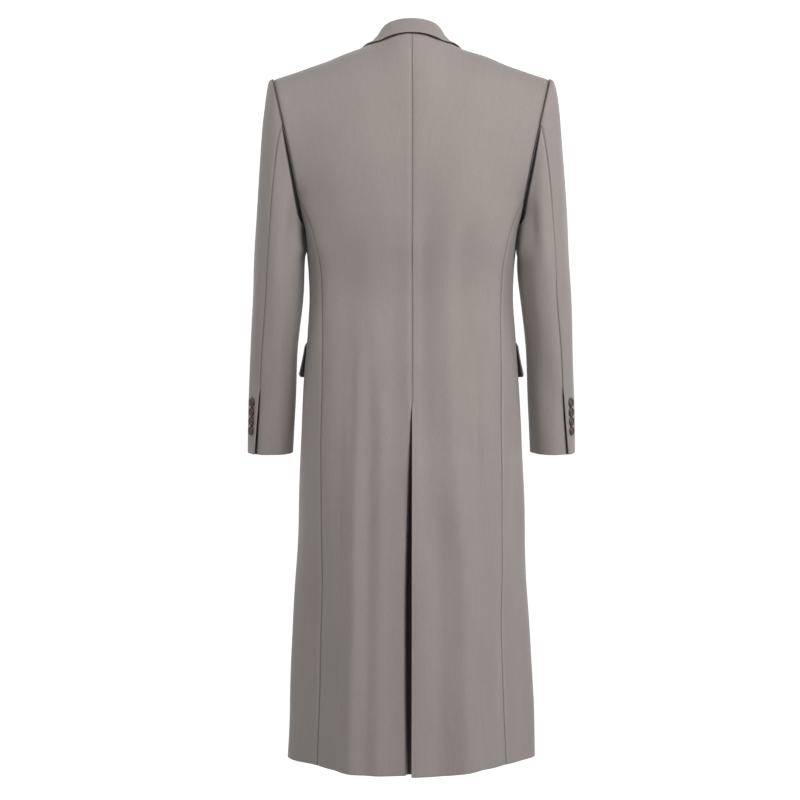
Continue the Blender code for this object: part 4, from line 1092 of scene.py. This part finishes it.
def collar_shells():
    """The collar's cloth, and the felt that lines the lowest third of its fall."""
    half = np.concatenate([np.linspace(0.0, 0.97, 66), (0.98, 0.99, 0.996, 1.0)])
    runs = np.concatenate([-half[:0:-1], half])
    lines = collar_lines(runs)
    centre = np.linalg.norm(np.diff(lines[:, len(runs) // 2], axis=0), axis=-1)
    knots = np.concatenate([[0.0], np.cumsum(centre)])
    fine = np.concatenate([(0.0, 0.0012, 0.003), np.linspace(0.005, knots[-1], 34)])
    face = Smooth(knots, lines)(fine)
    past_fold = ease(fine / knots[4])
    clearance = COLLAR_CLEAR * (1 - past_fold) - COLLAR_BITE * past_fold
    face = clear_of_body(face, clearance)[:, ::-1]
    under = face[: int(np.searchsorted(fine, knots[1]))]
    under = under - grid_normals(face)[: len(under)] * COLLAR_CLOTH
    shows = FELT_SHADE_SHOWS + FELT_SHADE_SHOWS_LEFT * ease(under[0, :, 0] / FELT_LEFT_RUN)
    under[0] += unit(under[0] - under[1]) * shows[:, None]
    # Painted highlight along the collar's pressed edge
    pale = 0.6 * bell(lengths(face, 0) / PRESSED_EDGE)
    return shell(face, COLLAR_CLOTH, pale, (1.0, 1.0, 1.0, 0.0)), shell(under, COLLAR_FELT)


def lapel_shell(side):
    """The turned-back top of a front, rolled over its edge. The right one's foot goes under the left one."""
    curves = column_curves(LAPEL_COLUMNS, LAPEL)
    right = side == "right"
    first = LAPEL_RIGHT_START if right else 0.0
    rises = np.linspace(first, 1.0, 72)[:, None]
    steps = np.concatenate([np.linspace(0.0, 0.95, 24), (0.975, 0.99, 1.0)])[None, :]
    roll_z = BREAK_Z + 0.004 + (GORGE_Z - 0.004 - BREAK_Z) * rises
    start_x = roll_x(roll_z)
    rolled = np.ones_like(rises)
    if right:
        hidden = -start_x + LAPEL_ROLL_OUT + LAPEL_CROSS_GAP
        rolled = np.clip((start_x - LAPEL_ROLL_OUT - hidden) / LAPEL_LEAST, 0.0, 1.0)
        start_x = np.maximum(start_x, hidden + LAPEL_ROLL_OUT)
    edge_x, edge_z = curves["edge_x"](rises), curves["edge_z"](rises)
    x = start_x + (np.maximum(edge_x, start_x + LAPEL_LEAST) - start_x) * steps
    z = roll_z + (edge_z - roll_z) * steps
    off = LAPEL_LIE + LAPEL_ROLL * np.sin(math.pi * steps**0.7) * np.sqrt(rises)
    turn_x = start_x - LAPEL_ROLL_OUT * 0.9 * np.cos(LAPEL_TURNS)
    turn_off = rolled * (0.0013 + 0.0030 * np.sin(LAPEL_TURNS)) + (1 - rolled) * LAPEL_LIE
    x = np.concatenate([turn_x, x[:, 1:]], axis=1)
    z = np.concatenate([np.repeat(roll_z, LAPEL_TURNS.size, axis=1), z[:, 1:]], axis=1)
    off = np.concatenate([turn_off, off[:, 1:]], axis=1)
    points, _ = front_at(x, z, off)
    # Painted highlight along the lapel's pressed outer edge
    return shell(points, LAPEL_CLOTH, 0.5 * bell(side_gaps(points)[1] / PRESSED_EDGE))


def flap_shell(side, cloth):
    """Pocket flap, held along its top and standing away from the coat at its foot."""
    between = np.linspace(FLAP_FROM_U + 0.19, FLAP_TO_U - 0.19, 24)
    u = np.concatenate([FLAP_FROM_U + FLAP_END_STEPS, between, FLAP_TO_U - FLAP_END_STEPS[::-1]])[None, :]
    down = np.linspace(1.0, 0.0, 22)[:, None]
    ends = np.minimum(u - FLAP_FROM_U, FLAP_TO_U - u)
    corner = FLAP_CORNER * (1 - ease(ends / 0.16)) * down**2
    z = FLAP_TOP_Z + (FLAP_LOW_Z - FLAP_TOP_Z) * down + corner
    rear = 1 - ease((u - FLAP_FROM_U) / 1.2)
    held = ease(down / 0.10)
    off = FLAP_HELD + (FLAP_STAND - FLAP_HELD) * held + down**1.3 * FLAP_FLARE * (0.35 + 0.65 * rear)
    off = off + body_off(u, z, side, cloth)
    points = ring(u, z) + ring_normal(u, z) * off[..., None]
    # Painted highlight along the flap's pressed edge; its inner face is painted dark, as a dark lining and as
    # the shade under the flap
    return shell(points, FLAP_CLOTH, 0.4 * bell(lengths(points, 0) / PRESSED_EDGE), under=-1.0, turned=True)


# Materials


class Wire:
    """A shader value that takes part in Python arithmetic, each step of which adds a Math node."""

    def __init__(self, paint, socket):
        self.paint, self.socket = paint, socket

    def maths(self, operation, *values):
        return self.paint.node("ShaderNodeMath", {"operation": operation}, dict(enumerate(values)))

    def __add__(self, other):
        return self.maths("ADD", self, other)

    def __sub__(self, other):
        return self.maths("SUBTRACT", self, other)

    def __rsub__(self, other):
        return self.maths("SUBTRACT", other, self)

    def __mul__(self, other):
        return self.maths("MULTIPLY", self, other)

    __radd__, __rmul__ = __add__, __mul__

    def between(self, low, high):
        """0 below low, 1 above high, and smooth between them."""
        return self.paint.node("ShaderNodeMapRange", {"interpolation_type": "SMOOTHSTEP"},
                               {"Value": self, "From Min": low, "From Max": high})


class Paint:
    """A material and its nodes."""

    def __init__(self, name):
        self.material = bpy.data.materials.new(name)
        self.material.use_nodes = True
        self.tree = self.material.node_tree
        self.tree.nodes.clear()

    def node(self, kind, settings=None, inputs=None, output=0):
        made = self.tree.nodes.new(kind)
        for name, value in (settings or {}).items():
            setattr(made, name, value)
        for name, value in (inputs or {}).items():
            if isinstance(value, Wire):
                self.tree.links.new(value.socket, made.inputs[name])
            else:
                made.inputs[name].default_value = value
        return Wire(self, made.outputs[output])

    def colour_mix(self, factor, low, high):
        """A colour between two others. Constants are given as three numbers."""
        low, high = ((*c, 1.0) if isinstance(c, (tuple, list)) else c for c in (low, high))
        return self.node("ShaderNodeMix", {"data_type": "RGBA"}, {0: factor, 6: low, 7: high}, output=2)

    def stretched(self, vector, scale):
        return self.node("ShaderNodeVectorMath", {"operation": "MULTIPLY"}, {0: vector, 1: scale})

    def noise(self, vector, scale, detail=2.0, roughness=0.5):
        return self.node("ShaderNodeTexNoise", {}, {"Vector": vector, "Scale": scale, "Detail": detail,
                                                    "Roughness": roughness})

    def bump(self, height, distance, strength=1.0):
        return self.node("ShaderNodeBump", {}, {"Height": height, "Distance": distance, "Strength": strength})

    def finish(self, inputs):
        shader = self.node("ShaderNodeBsdfPrincipled", {}, inputs)
        output = self.tree.nodes.new("ShaderNodeOutputMaterial")
        self.tree.links.new(shader.socket, output.inputs["Surface"])
        return self.material


def tinted(colour, by):
    return tuple(min(1.0, channel * by) for channel in colour)


def worsted(cloth):
    """Smooth worsted cloth with a fine twill and an upright grain, painted pale along pressed edges as a
    highlight with a little wear, and painted dark as shade in seams, creases and gaps.
    """
    paint = Paint("worsted")
    place = paint.node("ShaderNodeUVMap", {"uv_map": "cloth"})
    tone = paint.node("ShaderNodeAttribute", {"attribute_name": "tone"}, output=2)
    threads = paint.noise(paint.stretched(place, (2600.0, 260.0, 1.0)), 1.0, 2.0, 0.6)
    streaks = paint.noise(paint.stretched(place, (420.0, 16.0, 1.0)), 1.0, 3.0, 0.55)
    flecks = paint.noise(paint.stretched(place, (520.0, 85.0, 1.0)), 1.0, 2.0, 0.6)
    clouds = paint.noise(paint.stretched(place, (22.0, 9.0, 1.0)), 1.0, 2.0, 0.5)
    twill = paint.node("ShaderNodeTexWave", {"bands_direction": "DIAGONAL"},
                       {"Vector": paint.stretched(place, (1.0, 0.62, 0.0)), "Scale": 260.0, "Distortion": 1.5,
                        "Detail": 1.0, "Detail Scale": 2.0}, output=1)
    shade = (threads - 0.5) * 1.2 + (streaks - 0.5) + (flecks - 0.5) * 1.1 + (clouds - 0.5) * 0.6
    factor = shade * cloth.grain + 0.5
    base = paint.colour_mix(factor, tinted(cloth.colour, 0.62), tinted(cloth.colour, 1.38))
    # Painted highlight where the tone is above 0, along pressed edges and seam ridges
    base = paint.colour_mix(tone.between(0.0, 1.0) * 0.30, base, tinted(cloth.colour, 1.6))
    # Painted shade where the tone is below 0, darker still in the deepest creases and gaps
    base = paint.colour_mix((tone * -1.0).between(0.0, 1.0) * 0.93, base, tinted(cloth.colour, 0.08))
    base = paint.colour_mix((tone * -1.0).between(1.0, 1.5) * 0.9, base, tinted(cloth.colour, 0.01))
    height = threads * 0.5 + twill * 0.35 + streaks * 0.4
    return paint.finish({
        "Base Color": base, "Roughness": 0.78 + (threads - 0.5) * 0.2, "Sheen Weight": 0.40,
        "Sheen Roughness": 0.45, "Specular IOR Level": 0.25, "Normal": paint.bump(height, 0.00012, 0.6)})


def melton(cloth):
    """Dense felt without a weave."""
    paint = Paint("melton_felt")
    place = paint.node("ShaderNodeTexCoord", output=3)
    fibres = paint.noise(place, 1400.0, 3.0, 0.7)
    # Near-black felt, dark enough to also stand for the shadow under the collar's edge
    base = paint.colour_mix(fibres, tinted(cloth.felt, 0.7), tinted(cloth.felt, 1.5))
    return paint.finish({"Base Color": base, "Roughness": 0.95, "Sheen Weight": 0.15,
                         "Normal": paint.bump(fibres, 0.0003, 0.6)})


def horn(buttons):
    """Polished dark horn, paler and streaked towards the middle."""
    paint = Paint("horn")
    place = paint.node("ShaderNodeUVMap", {"uv_map": "cloth"})
    across = paint.node("ShaderNodeVectorMath", {"operation": "LENGTH"}, {0: place}, output=1)
    streak = paint.noise(paint.stretched(place, (2.0, 9.0, 1.0)), 1.6, 4.0, 0.6)
    pale = (1 - across.between(0.45, 0.80)) * (0.55 + (streak - 0.5) * 1.4)
    base = paint.colour_mix(pale, tuple(buttons.rim), tuple(buttons.centre))
    return paint.finish({"Base Color": base, "Roughness": 0.42 + (streak - 0.5) * 0.15, "Coat Weight": 0.15,
                         "Coat Roughness": 0.2, "Normal": paint.bump(streak, 0.0001, 0.2)})


def thread_finish():
    paint = Paint("sewing_thread")
    place = paint.node("ShaderNodeTexCoord", output=3)
    twist = paint.noise(place, 5200.0, 2.0)
    base = paint.colour_mix(twist, (0.130, 0.105, 0.088), (0.240, 0.200, 0.170))
    return paint.finish({"Base Color": base, "Roughness": 0.6, "Normal": paint.bump(twist, 0.0001, 0.6)})


def shared(name, make, *settings):
    """A material that several operators use, made on its first use."""
    return bpy.data.materials.get(name) or make(*settings)


# Buttons


BUTTON_AROUND = 48
HOLLOW_FLOOR = [(reach / 100, 0.64) for reach in (44, 38, 33, 28, 23, 18, 13, 8, 0)]
BUTTON_PROFILE = [
    (0.0, 0.0), (0.50, 0.0), (0.80, 0.14), (0.93, 0.30), (0.985, 0.46), (1.0, 0.58), (0.99, 0.72),
    (0.955, 0.87), (0.90, 0.97), (0.84, 1.0), (0.775, 0.965), (0.70, 0.82), (0.63, 0.70), (0.56, 0.655),
    (0.50, 0.645),
] + HOLLOW_FLOOR
HOLLOW_FROM = 9  # the profile's ring from which the sewing holes can sink
HOLE_OFF, HOLE_RADIUS, HOLE_DEPTH = 0.245, 0.105, 0.42
THREAD_FACES, THREAD_RADIUS, THREAD_PITCH = 6, 0.040, 0.045
DIAGONAL = 0.7071


def button_mesh(name, across, thick, finish):
    """A turned button facing +Z with four sewing holes, its back at the origin."""
    radius = across / 2
    turns = np.arange(BUTTON_AROUND) * 2 * math.pi / BUTTON_AROUND
    points, faces, places = [(0.0, 0.0, 0.0)], [], [(0.0, 0.0)]
    for k, (reach, height) in enumerate(BUTTON_PROFILE[1:-1]):
        for turn in turns:
            x, y = reach * math.cos(turn), reach * math.sin(turn)
            sink = 0.0
            if k >= HOLLOW_FROM:
                near = math.hypot(abs(x) - HOLE_OFF, abs(y) - HOLE_OFF)
                sink = HOLE_DEPTH * float(1 - ease((near - HOLE_RADIUS * 0.6) / (HOLE_RADIUS * 0.7)))
            points.append((x * radius, y * radius, (height - sink) * thick))
            places.append((x, y))
    points.append((0.0, 0.0, BUTTON_PROFILE[-1][1] * thick))
    places.append((0.0, 0.0))
    rings = len(BUTTON_PROFILE) - 2
    last = 1 + (rings - 1) * BUTTON_AROUND
    for k in range(BUTTON_AROUND):
        after = (k + 1) % BUTTON_AROUND
        faces.append((0, 1 + after, 1 + k))
        faces.append((last + k, last + after, len(points) - 1))
        for r in range(rings - 1):
            a = 1 + r * BUTTON_AROUND
            faces.append((a + k, a + after, a + BUTTON_AROUND + after, a + BUTTON_AROUND + k))
    made = new_object(name, points, faces, finish)
    add_map(made.data, np.array(places))
    return made


def thread_mesh(name, across, thick, finish):
    """Two crossed bars of sewing thread through a button's holes, with the button's middle at the origin."""
    radius = across / 2
    points, faces = [], []
    for slant in (1, -1):
        for strand in (-1, 0, 1):
            path = []
            for t in np.linspace(-1.0, 1.0, 13):
                reach = HOLE_OFF * 1.414 * t * radius
                side = strand * THREAD_PITCH * radius
                lift = (0.64 - 0.30 * abs(t) ** 6 + 0.10 * (1 - t * t) + (0.05 if slant > 0 else 0.0)) * thick
                corner = (reach + side, reach - side) if slant > 0 else (reach + side, side - reach)
                path.append((corner[0] * DIAGONAL, corner[1] * DIAGONAL, lift))
            start = len(points)
            for x, y, z in path:
                for turn in range(THREAD_FACES):
                    angle = turn * 2 * math.pi / THREAD_FACES
                    out = THREAD_RADIUS * radius * math.cos(angle)
                    up = THREAD_RADIUS * radius * math.sin(angle)
                    points.append((x + out * DIAGONAL, y - out * DIAGONAL * slant, z + up))
            for k in range(len(path) - 1):
                for turn in range(THREAD_FACES):
                    after = (turn + 1) % THREAD_FACES
                    a = start + k * THREAD_FACES
                    faces.append((a + turn, a + after, a + THREAD_FACES + after, a + THREAD_FACES + turn))
            end = start + (len(path) - 1) * THREAD_FACES
            faces.append(tuple(start + turn for turn in range(THREAD_FACES))[::-1])
            faces.append(tuple(end + turn for turn in range(THREAD_FACES)))
    return new_object(name, points, faces, finish)


SEWING_NODES = {
    "start": ("NodeGroupInput", {}),
    "end": ("NodeGroupOutput", {}),
    "piece": ("GeometryNodeObjectInfo", {}),
    "facing": ("GeometryNodeInputNamedAttribute", {"data_type": "FLOAT_VECTOR"}),
    "align": ("FunctionNodeAlignRotationToVector", {"axis": "Z"}),
    "spin": ("GeometryNodeInputNamedAttribute", {"data_type": "FLOAT"}),
    "axis": ("FunctionNodeAxisAngleToRotation", {}),
    "turned": ("FunctionNodeRotateRotation", {"rotation_space": "LOCAL"}),
    "sew": ("GeometryNodeInstanceOnPoints", {}),
    "real": ("GeometryNodeRealizeInstances", {}),
    "paint": ("GeometryNodeSetMaterial", {}),
}
SEWING_LINKS = (
    ("start", "Piece", "piece", "Object"),
    ("facing", "Attribute", "align", "Vector"),
    ("spin", "Attribute", "axis", "Angle"),
    ("align", "Rotation", "turned", "Rotation"),
    ("axis", "Rotation", "turned", "Rotate By"),
    ("start", "Geometry", "sew", "Points"),
    ("piece", "Geometry", "sew", "Instance"),
    ("turned", "Rotation", "sew", "Rotation"),
    ("sew", "Instances", "real", "Geometry"),
    ("real", "Geometry", "paint", "Geometry"),
    ("start", "Finish", "paint", "Material"),
    ("paint", "Geometry", "end", "Geometry"),
)


def sewing_tree():
    """Geometry nodes that sew copies of a piece on points, each facing the way that its point says."""
    tree = bpy.data.node_groups.get("sewn_on")
    if tree:
        return tree
    tree = bpy.data.node_groups.new("sewn_on", "GeometryNodeTree")
    for name, kind in (("Geometry", "Geometry"), ("Piece", "Object"), ("Finish", "Material")):
        tree.interface.new_socket(name, in_out="INPUT", socket_type=f"NodeSocket{kind}")
    tree.interface.new_socket("Geometry", in_out="OUTPUT", socket_type="NodeSocketGeometry")
    nodes = {}
    for name, (kind, settings) in SEWING_NODES.items():
        nodes[name] = tree.nodes.new(kind)
        for setting, value in settings.items():
            setattr(nodes[name], setting, value)
    for name in ("facing", "spin"):
        nodes[name].inputs["Name"].default_value = name
    nodes["axis"].inputs["Axis"].default_value = (0.0, 0.0, 1.0)
    for giver, output, taker, entry in SEWING_LINKS:
        tree.links.new(nodes[giver].outputs[output], nodes[taker].inputs[entry])
    return tree


def sew_on(name, piece, points, facings, spins, finish):
    """Copies of a piece at points, as one plain mesh."""
    mesh = bpy.data.meshes.new(name + "_points")
    mesh.from_pydata([tuple(p) for p in points], [], [])
    facing = mesh.attributes.new("facing", "FLOAT_VECTOR", "POINT")
    facing.data.foreach_set("vector", np.asarray(facings, np.float32).ravel())
    spin = mesh.attributes.new("spin", "FLOAT", "POINT")
    spin.data.foreach_set("value", np.asarray(spins, np.float32))
    carrier = add_object(name + "_points", mesh)
    modifier = carrier.modifiers.new("sewn_on", "NODES")
    modifier.node_group = sewing_tree()
    values = {"Piece": piece, "Finish": finish}
    for item in modifier.node_group.interface.items_tree:
        if item.in_out == "INPUT" and item.name in values:
            modifier[item.identifier] = values[item.name]
    bpy.context.view_layer.update()
    evaluated = carrier.evaluated_get(bpy.context.evaluated_depsgraph_get())
    plain = bpy.data.meshes.new_from_object(evaluated)
    plain.name = name
    carrier.modifiers.remove(modifier)
    bpy.data.objects.remove(carrier)
    return add_object(name, plain)


def cuff_places(side):
    """Middle and facing of each cuff button on the top sleeve."""
    flip = MIRROR if side == "right" else 1.0
    rings = np.linspace(11.5, CUFF_RING, 201)
    heights = sleeve_point(rings, CUFF_BUTTON_DEG)[:, 2]
    places, facings = [], []
    for k in range(CUFF_BUTTONS):
        at = float(np.interp(-(CUFF_BUTTON_TOP_Z - k * CUFF_BUTTON_PITCH), -heights, rings))
        here = sleeve_point(at, CUFF_BUTTON_DEG)
        along = sleeve_point(at + 0.01, CUFF_BUTTON_DEG) - here
        around = sleeve_point(at, CUFF_BUTTON_DEG + 0.5) - here
        normal = unit(np.cross(along, around))
        places.append((here + normal * CUFF_BUTTON_STAND) * flip)
        facings.append(unit(normal + np.array([0.0, 0.0, CUFF_BUTTON_LEAN])) * flip)
    return places, facings


# Operators


# Each cloth piece's cut: its flat width and length, and its flat area where it isn't a rectangle
CUTS = {
    "back": ((0.30, 1.26), 0.23),
    "side": ((0.21, 0.94), 0.165),
    "front": ((0.30, 1.26), 0.22),
    "sleeve_top": ((0.24, 0.66), 0.125),
    "sleeve_under": ((0.20, 0.52), 0.075),
    "collar": ((0.46, 0.085), 0.026),
    "collar_felt": ((0.46, 0.025), 0.0071),
    "lapel": ((0.10, 0.30), 0.0135),
    "flap": ((0.17, 0.057), None),
}


def finished(piece, nodes, slot, flat=None, area=None):
    """Ties a piece to the frame and hides the model's parts that it stands for. Its finish and the cut of its
    cloth are not used.
    """
    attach(piece, "root")
    if nodes:
        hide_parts(*nodes)


def make_pairs(context, shells_of):
    """Makes cloth pieces for each side. shells_of gives their shells by the piece's name without its side."""
    cloth = context.scene.coat_cloth
    finish = shared("worsted", worsted, cloth)
    for side, right in SIDES:
        for name, shells in shells_of(side, cloth).items():
            piece = make_mesh(f"coat_{name}_{side}", shells, finish, right)
            finished(piece, [f"{name}_{side}"], "coat_cloth", *CUTS[name])
    return {"FINISHED"}


class COAT_OT_backs(bpy.types.Operator):
    """Make both backs, with the vent between them"""

    bl_idname = "coat.backs"
    bl_label = "Backs"

    def execute(self, context):
        return make_pairs(context, lambda side, cloth: {"back": back_shells(side, cloth)})


class COAT_OT_sides(bpy.types.Operator):
    """Make the panels under the arms"""

    bl_idname = "coat.sides"
    bl_label = "Side panels"

    def execute(self, context):
        return make_pairs(context, lambda side, cloth: {"side": [side_shell(side, cloth)]})


class COAT_OT_fronts(bpy.types.Operator):
    """Make both fronts, the left one over the right one"""

    bl_idname = "coat.fronts"
    bl_label = "Fronts"

    def execute(self, context):
        return make_pairs(context, lambda side, cloth: {"front": [front_shell(side, cloth)]})


class COAT_OT_sleeves(bpy.types.Operator):
    """Make the two-piece sleeves with their open cuffs"""

    bl_idname = "coat.sleeves"
    bl_label = "Sleeves"

    def execute(self, context):
        return make_pairs(context, sleeve_shells)


class COAT_OT_collar(bpy.types.Operator):
    """Make the folded collar with felt under its fall"""

    bl_idname = "coat.collar"
    bl_label = "Collar"

    def execute(self, context):
        cloth = context.scene.coat_cloth
        face, felt = collar_shells()
        piece = make_mesh("coat_collar", [face], shared("worsted", worsted, cloth))
        finished(piece, ["collar"], "coat_cloth", *CUTS["collar"])
        piece = make_mesh("coat_collar_felt", [felt], shared("melton_felt", melton, cloth))
        finished(piece, [], "coat_cloth", *CUTS["collar_felt"])
        return {"FINISHED"}


class COAT_OT_lapels(bpy.types.Operator):
    """Make the lapels that turn back from the fronts"""

    bl_idname = "coat.lapels"
    bl_label = "Lapels"

    def execute(self, context):
        return make_pairs(context, lambda side, cloth: {"lapel": [lapel_shell(side)]})


class COAT_OT_flaps(bpy.types.Operator):
    """Make the pocket flaps at the hips"""

    bl_idname = "coat.flaps"
    bl_label = "Pocket flaps"

    def execute(self, context):
        return make_pairs(context, lambda side, cloth: {"flap": [flap_shell(side, cloth)]})


class COAT_OT_buttons(bpy.types.Operator):
    """Sew on the cuff and front buttons"""

    bl_idname = "coat.buttons"
    bl_label = "Buttons"

    def execute(self, context):
        buttons = context.scene.coat_buttons
        cuff = (buttons.cuff_width, buttons.cuff_thickness)
        spins = [0.4 * k + 0.2 for k in range(CUFF_BUTTONS)]
        for side, _ in SIDES:
            places, facings = cuff_places(side)
            self.sew(buttons, f"cuff_{{}}_{side}", f"cuff_button_{side}", cuff, places, facings, spins)
        places, facings = zip(*(front_at(0.0, height, FRONT_BUTTON_STAND) for height in FRONT_BUTTON_HEIGHTS))
        front = (buttons.front_width, buttons.front_thickness)
        self.sew(buttons, "front_{}", "front_button", front, places, facings, FRONT_BUTTON_SPINS)
        return {"FINISHED"}

    def sew(self, buttons, names, node, sizes, places, facings, spins):
        """One row of buttons, and the threads that hold them."""
        bone, strand = shared("horn", horn, buttons), shared("sewing_thread", thread_finish)
        master, bars = button_mesh("button", *sizes, bone), thread_mesh("bars", *sizes, strand)
        piece = sew_on(names.format("buttons"), master, places, facings, spins, bone)
        finished(piece, [f"{node}_{k + 1}" for k in range(len(places))], "horn")
        piece = sew_on(names.format("threads"), bars, places, facings, spins, strand)
        finished(piece, [], "horn")
        bpy.data.objects.remove(master)
        bpy.data.objects.remove(bars)


# Studio: each light's place, aim and size, the paper, and the camera
LIGHTS = {
    "key": ((-1.5, 2.2, 0.5), (0.0, 0.0, -0.2), (1.6, 1.6)),
    "fill": ((1.5, 2.2, 0.5), (0.0, 0.0, -0.3), (1.4, 1.4)),
    "overhead": ((0.0, 1.0, 1.3), (0.0, 0.1, -0.3), (2.0, 1.0)),
    "side_left": ((3.0, 0.6, 0.3), (0.2, 0.0, -0.3), (1.6, 2.4)),
    "side_right": ((-3.0, 0.6, 0.3), (-0.2, 0.0, -0.3), (1.6, 2.4)),
}
FLOOR_Z = -1.50
PAPER_GLOW_Y = (-1.35, -0.85)
PAPER_HALF, PAPER_WALL_Y, PAPER_TOP_Z = 14.0, -9.0, 8.0
PAPER_BEND, PAPER_STEPS = 2.5, 16
CAMERA_PLACE = (0.019, 3.6, -0.5947)
CAMERA_LENS, CAMERA_SENSOR = 96.435, 36.0


def area_light(name, place, aim, size, power):
    """A softbox at a place, turned to its aim."""
    light = bpy.data.lights.new(name, "AREA")
    light.shape, light.size, light.size_y = "RECTANGLE", size[0], size[1]
    light.energy = power
    made = add_object(name, light)
    made.location = place
    made.visible_camera = False
    away = np.array(place) - np.array(aim)
    flat = math.hypot(away[0], away[1])
    made.rotation_euler = (math.atan2(flat, away[2]), 0.0, math.atan2(away[0], -away[1]))


class COAT_OT_studio(bpy.types.Operator):
    """Make the white paper, the lights and the camera"""

    bl_idname = "coat.studio"
    bl_label = "Studio"

    def execute(self, context):
        studio = context.scene.coat_studio
        self.backdrop(studio)
        for name, (place, aim, size) in LIGHTS.items():
            area_light(name, place, aim, size, getattr(studio, name))
        context.scene.world = self.surround(studio)
        camera = bpy.data.cameras.new("camera")
        camera.lens, camera.sensor_width = CAMERA_LENS, CAMERA_SENSOR
        made = add_object("camera", camera)
        made.location = CAMERA_PLACE
        made.rotation_euler = (math.radians(90.0), 0.0, math.radians(180.0))
        context.scene.camera = made
        context.scene.view_settings.view_transform = "Standard"
        return {"FINISHED"}

    def surround(self, studio):
        """A faint white light from all round, which looks brighter to the camera than it shines."""
        world = bpy.data.worlds.new("surround")
        world.use_nodes = True
        nodes, links = world.node_tree.nodes, world.node_tree.links
        background = nodes["Background"]
        background.inputs["Color"].default_value = (1.0, 1.0, 1.0, 1.0)
        seen = nodes.new("ShaderNodeLightPath")
        strength = nodes.new("ShaderNodeMapRange")
        strength.inputs["To Min"].default_value = studio.sky
        strength.inputs["To Max"].default_value = studio.sky_seen
        links.new(seen.outputs["Is Camera Ray"], strength.inputs["Value"])
        links.new(strength.outputs["Result"], background.inputs["Strength"])
        return world

    def backdrop(self, studio):
        """One pale sheet that looks white: floor all round the coat and a wall curving up behind it.

        Only its far part gives the coat light."""
        white, black = (1.0, 1.0, 1.0), (0.0, 0.0, 0.0)
        paint = Paint("paper")
        place = paint.node("ShaderNodeTexCoord", output=3)
        fibres = paint.noise(place, 60.0, 2.0)
        base = paint.colour_mix(fibres, (0.50, 0.50, 0.50), (0.53, 0.53, 0.53))
        along = paint.node("ShaderNodeSeparateXYZ", {}, {0: place}, output=1)
        glow = paint.colour_mix(along.between(*PAPER_GLOW_Y), white, black)
        seen = paint.node("ShaderNodeLightPath", output="Is Camera Ray")
        glow = paint.colour_mix(seen, glow, white)
        finish = paint.finish({"Base Color": base, "Roughness": 0.9, "Emission Color": glow,
                               "Emission Strength": studio.paper})
        profile = [(PAPER_HALF, FLOOR_Z), (PAPER_WALL_Y + PAPER_BEND, FLOOR_Z)]
        for turn in np.linspace(0.0, math.pi / 2, PAPER_STEPS + 1)[1:]:
            profile.append((PAPER_WALL_Y + PAPER_BEND * (1 - math.sin(turn)),
                            FLOOR_Z + PAPER_BEND * (1 - math.cos(turn))))
        profile.append((PAPER_WALL_Y, PAPER_TOP_Z))
        points = [(x, y, z) for y, z in profile for x in (-PAPER_HALF, PAPER_HALF)]
        faces = [(2 * k, 2 * k + 1, 2 * k + 3, 2 * k + 2) for k in range(len(profile) - 1)]
        new_object("paper", points, faces, finish)


OPERATORS = (COAT_OT_backs, COAT_OT_sides, COAT_OT_fronts, COAT_OT_sleeves, COAT_OT_collar, COAT_OT_lapels,
             COAT_OT_flaps, COAT_OT_buttons, COAT_OT_studio)
SETTINGS = {"coat_cloth": ClothSettings, "coat_buttons": ButtonSettings, "coat_studio": StudioSettings}


class COAT_PT_panel(bpy.types.Panel):
    """Lists the coat's sizes, colours and pieces"""

    bl_label = "Long overcoat"
    bl_idname = "COAT_PT_panel"
    bl_space_type = "VIEW_3D"
    bl_region_type = "UI"
    bl_category = "Coat"

    def draw(self, context):
        for key, kind in SETTINGS.items():
            box = self.layout.box()
            for name in kind.__annotations__:
                box.prop(getattr(context.scene, key), name)
        for operator in OPERATORS:
            self.layout.operator(operator.bl_idname)


CLASSES = (*SETTINGS.values(), *OPERATORS, COAT_PT_panel)


def register():
    for made in CLASSES:
        bpy.utils.register_class(made)
    for key, kind in SETTINGS.items():
        setattr(bpy.types.Scene, key, bpy.props.PointerProperty(type=kind))


def unregister():
    for key in SETTINGS:
        delattr(bpy.types.Scene, key)
    for made in reversed(CLASSES):
        bpy.utils.unregister_class(made)


def main():
    register()
    bpy.ops.coat.backs()
    bpy.ops.coat.sides()
    bpy.ops.coat.fronts()
    bpy.ops.coat.sleeves()
    bpy.ops.coat.collar()
    bpy.ops.coat.lapels()
    bpy.ops.coat.flaps()
    bpy.ops.coat.buttons()
    bpy.ops.coat.studio()


if __name__ == "__main__":
    main()
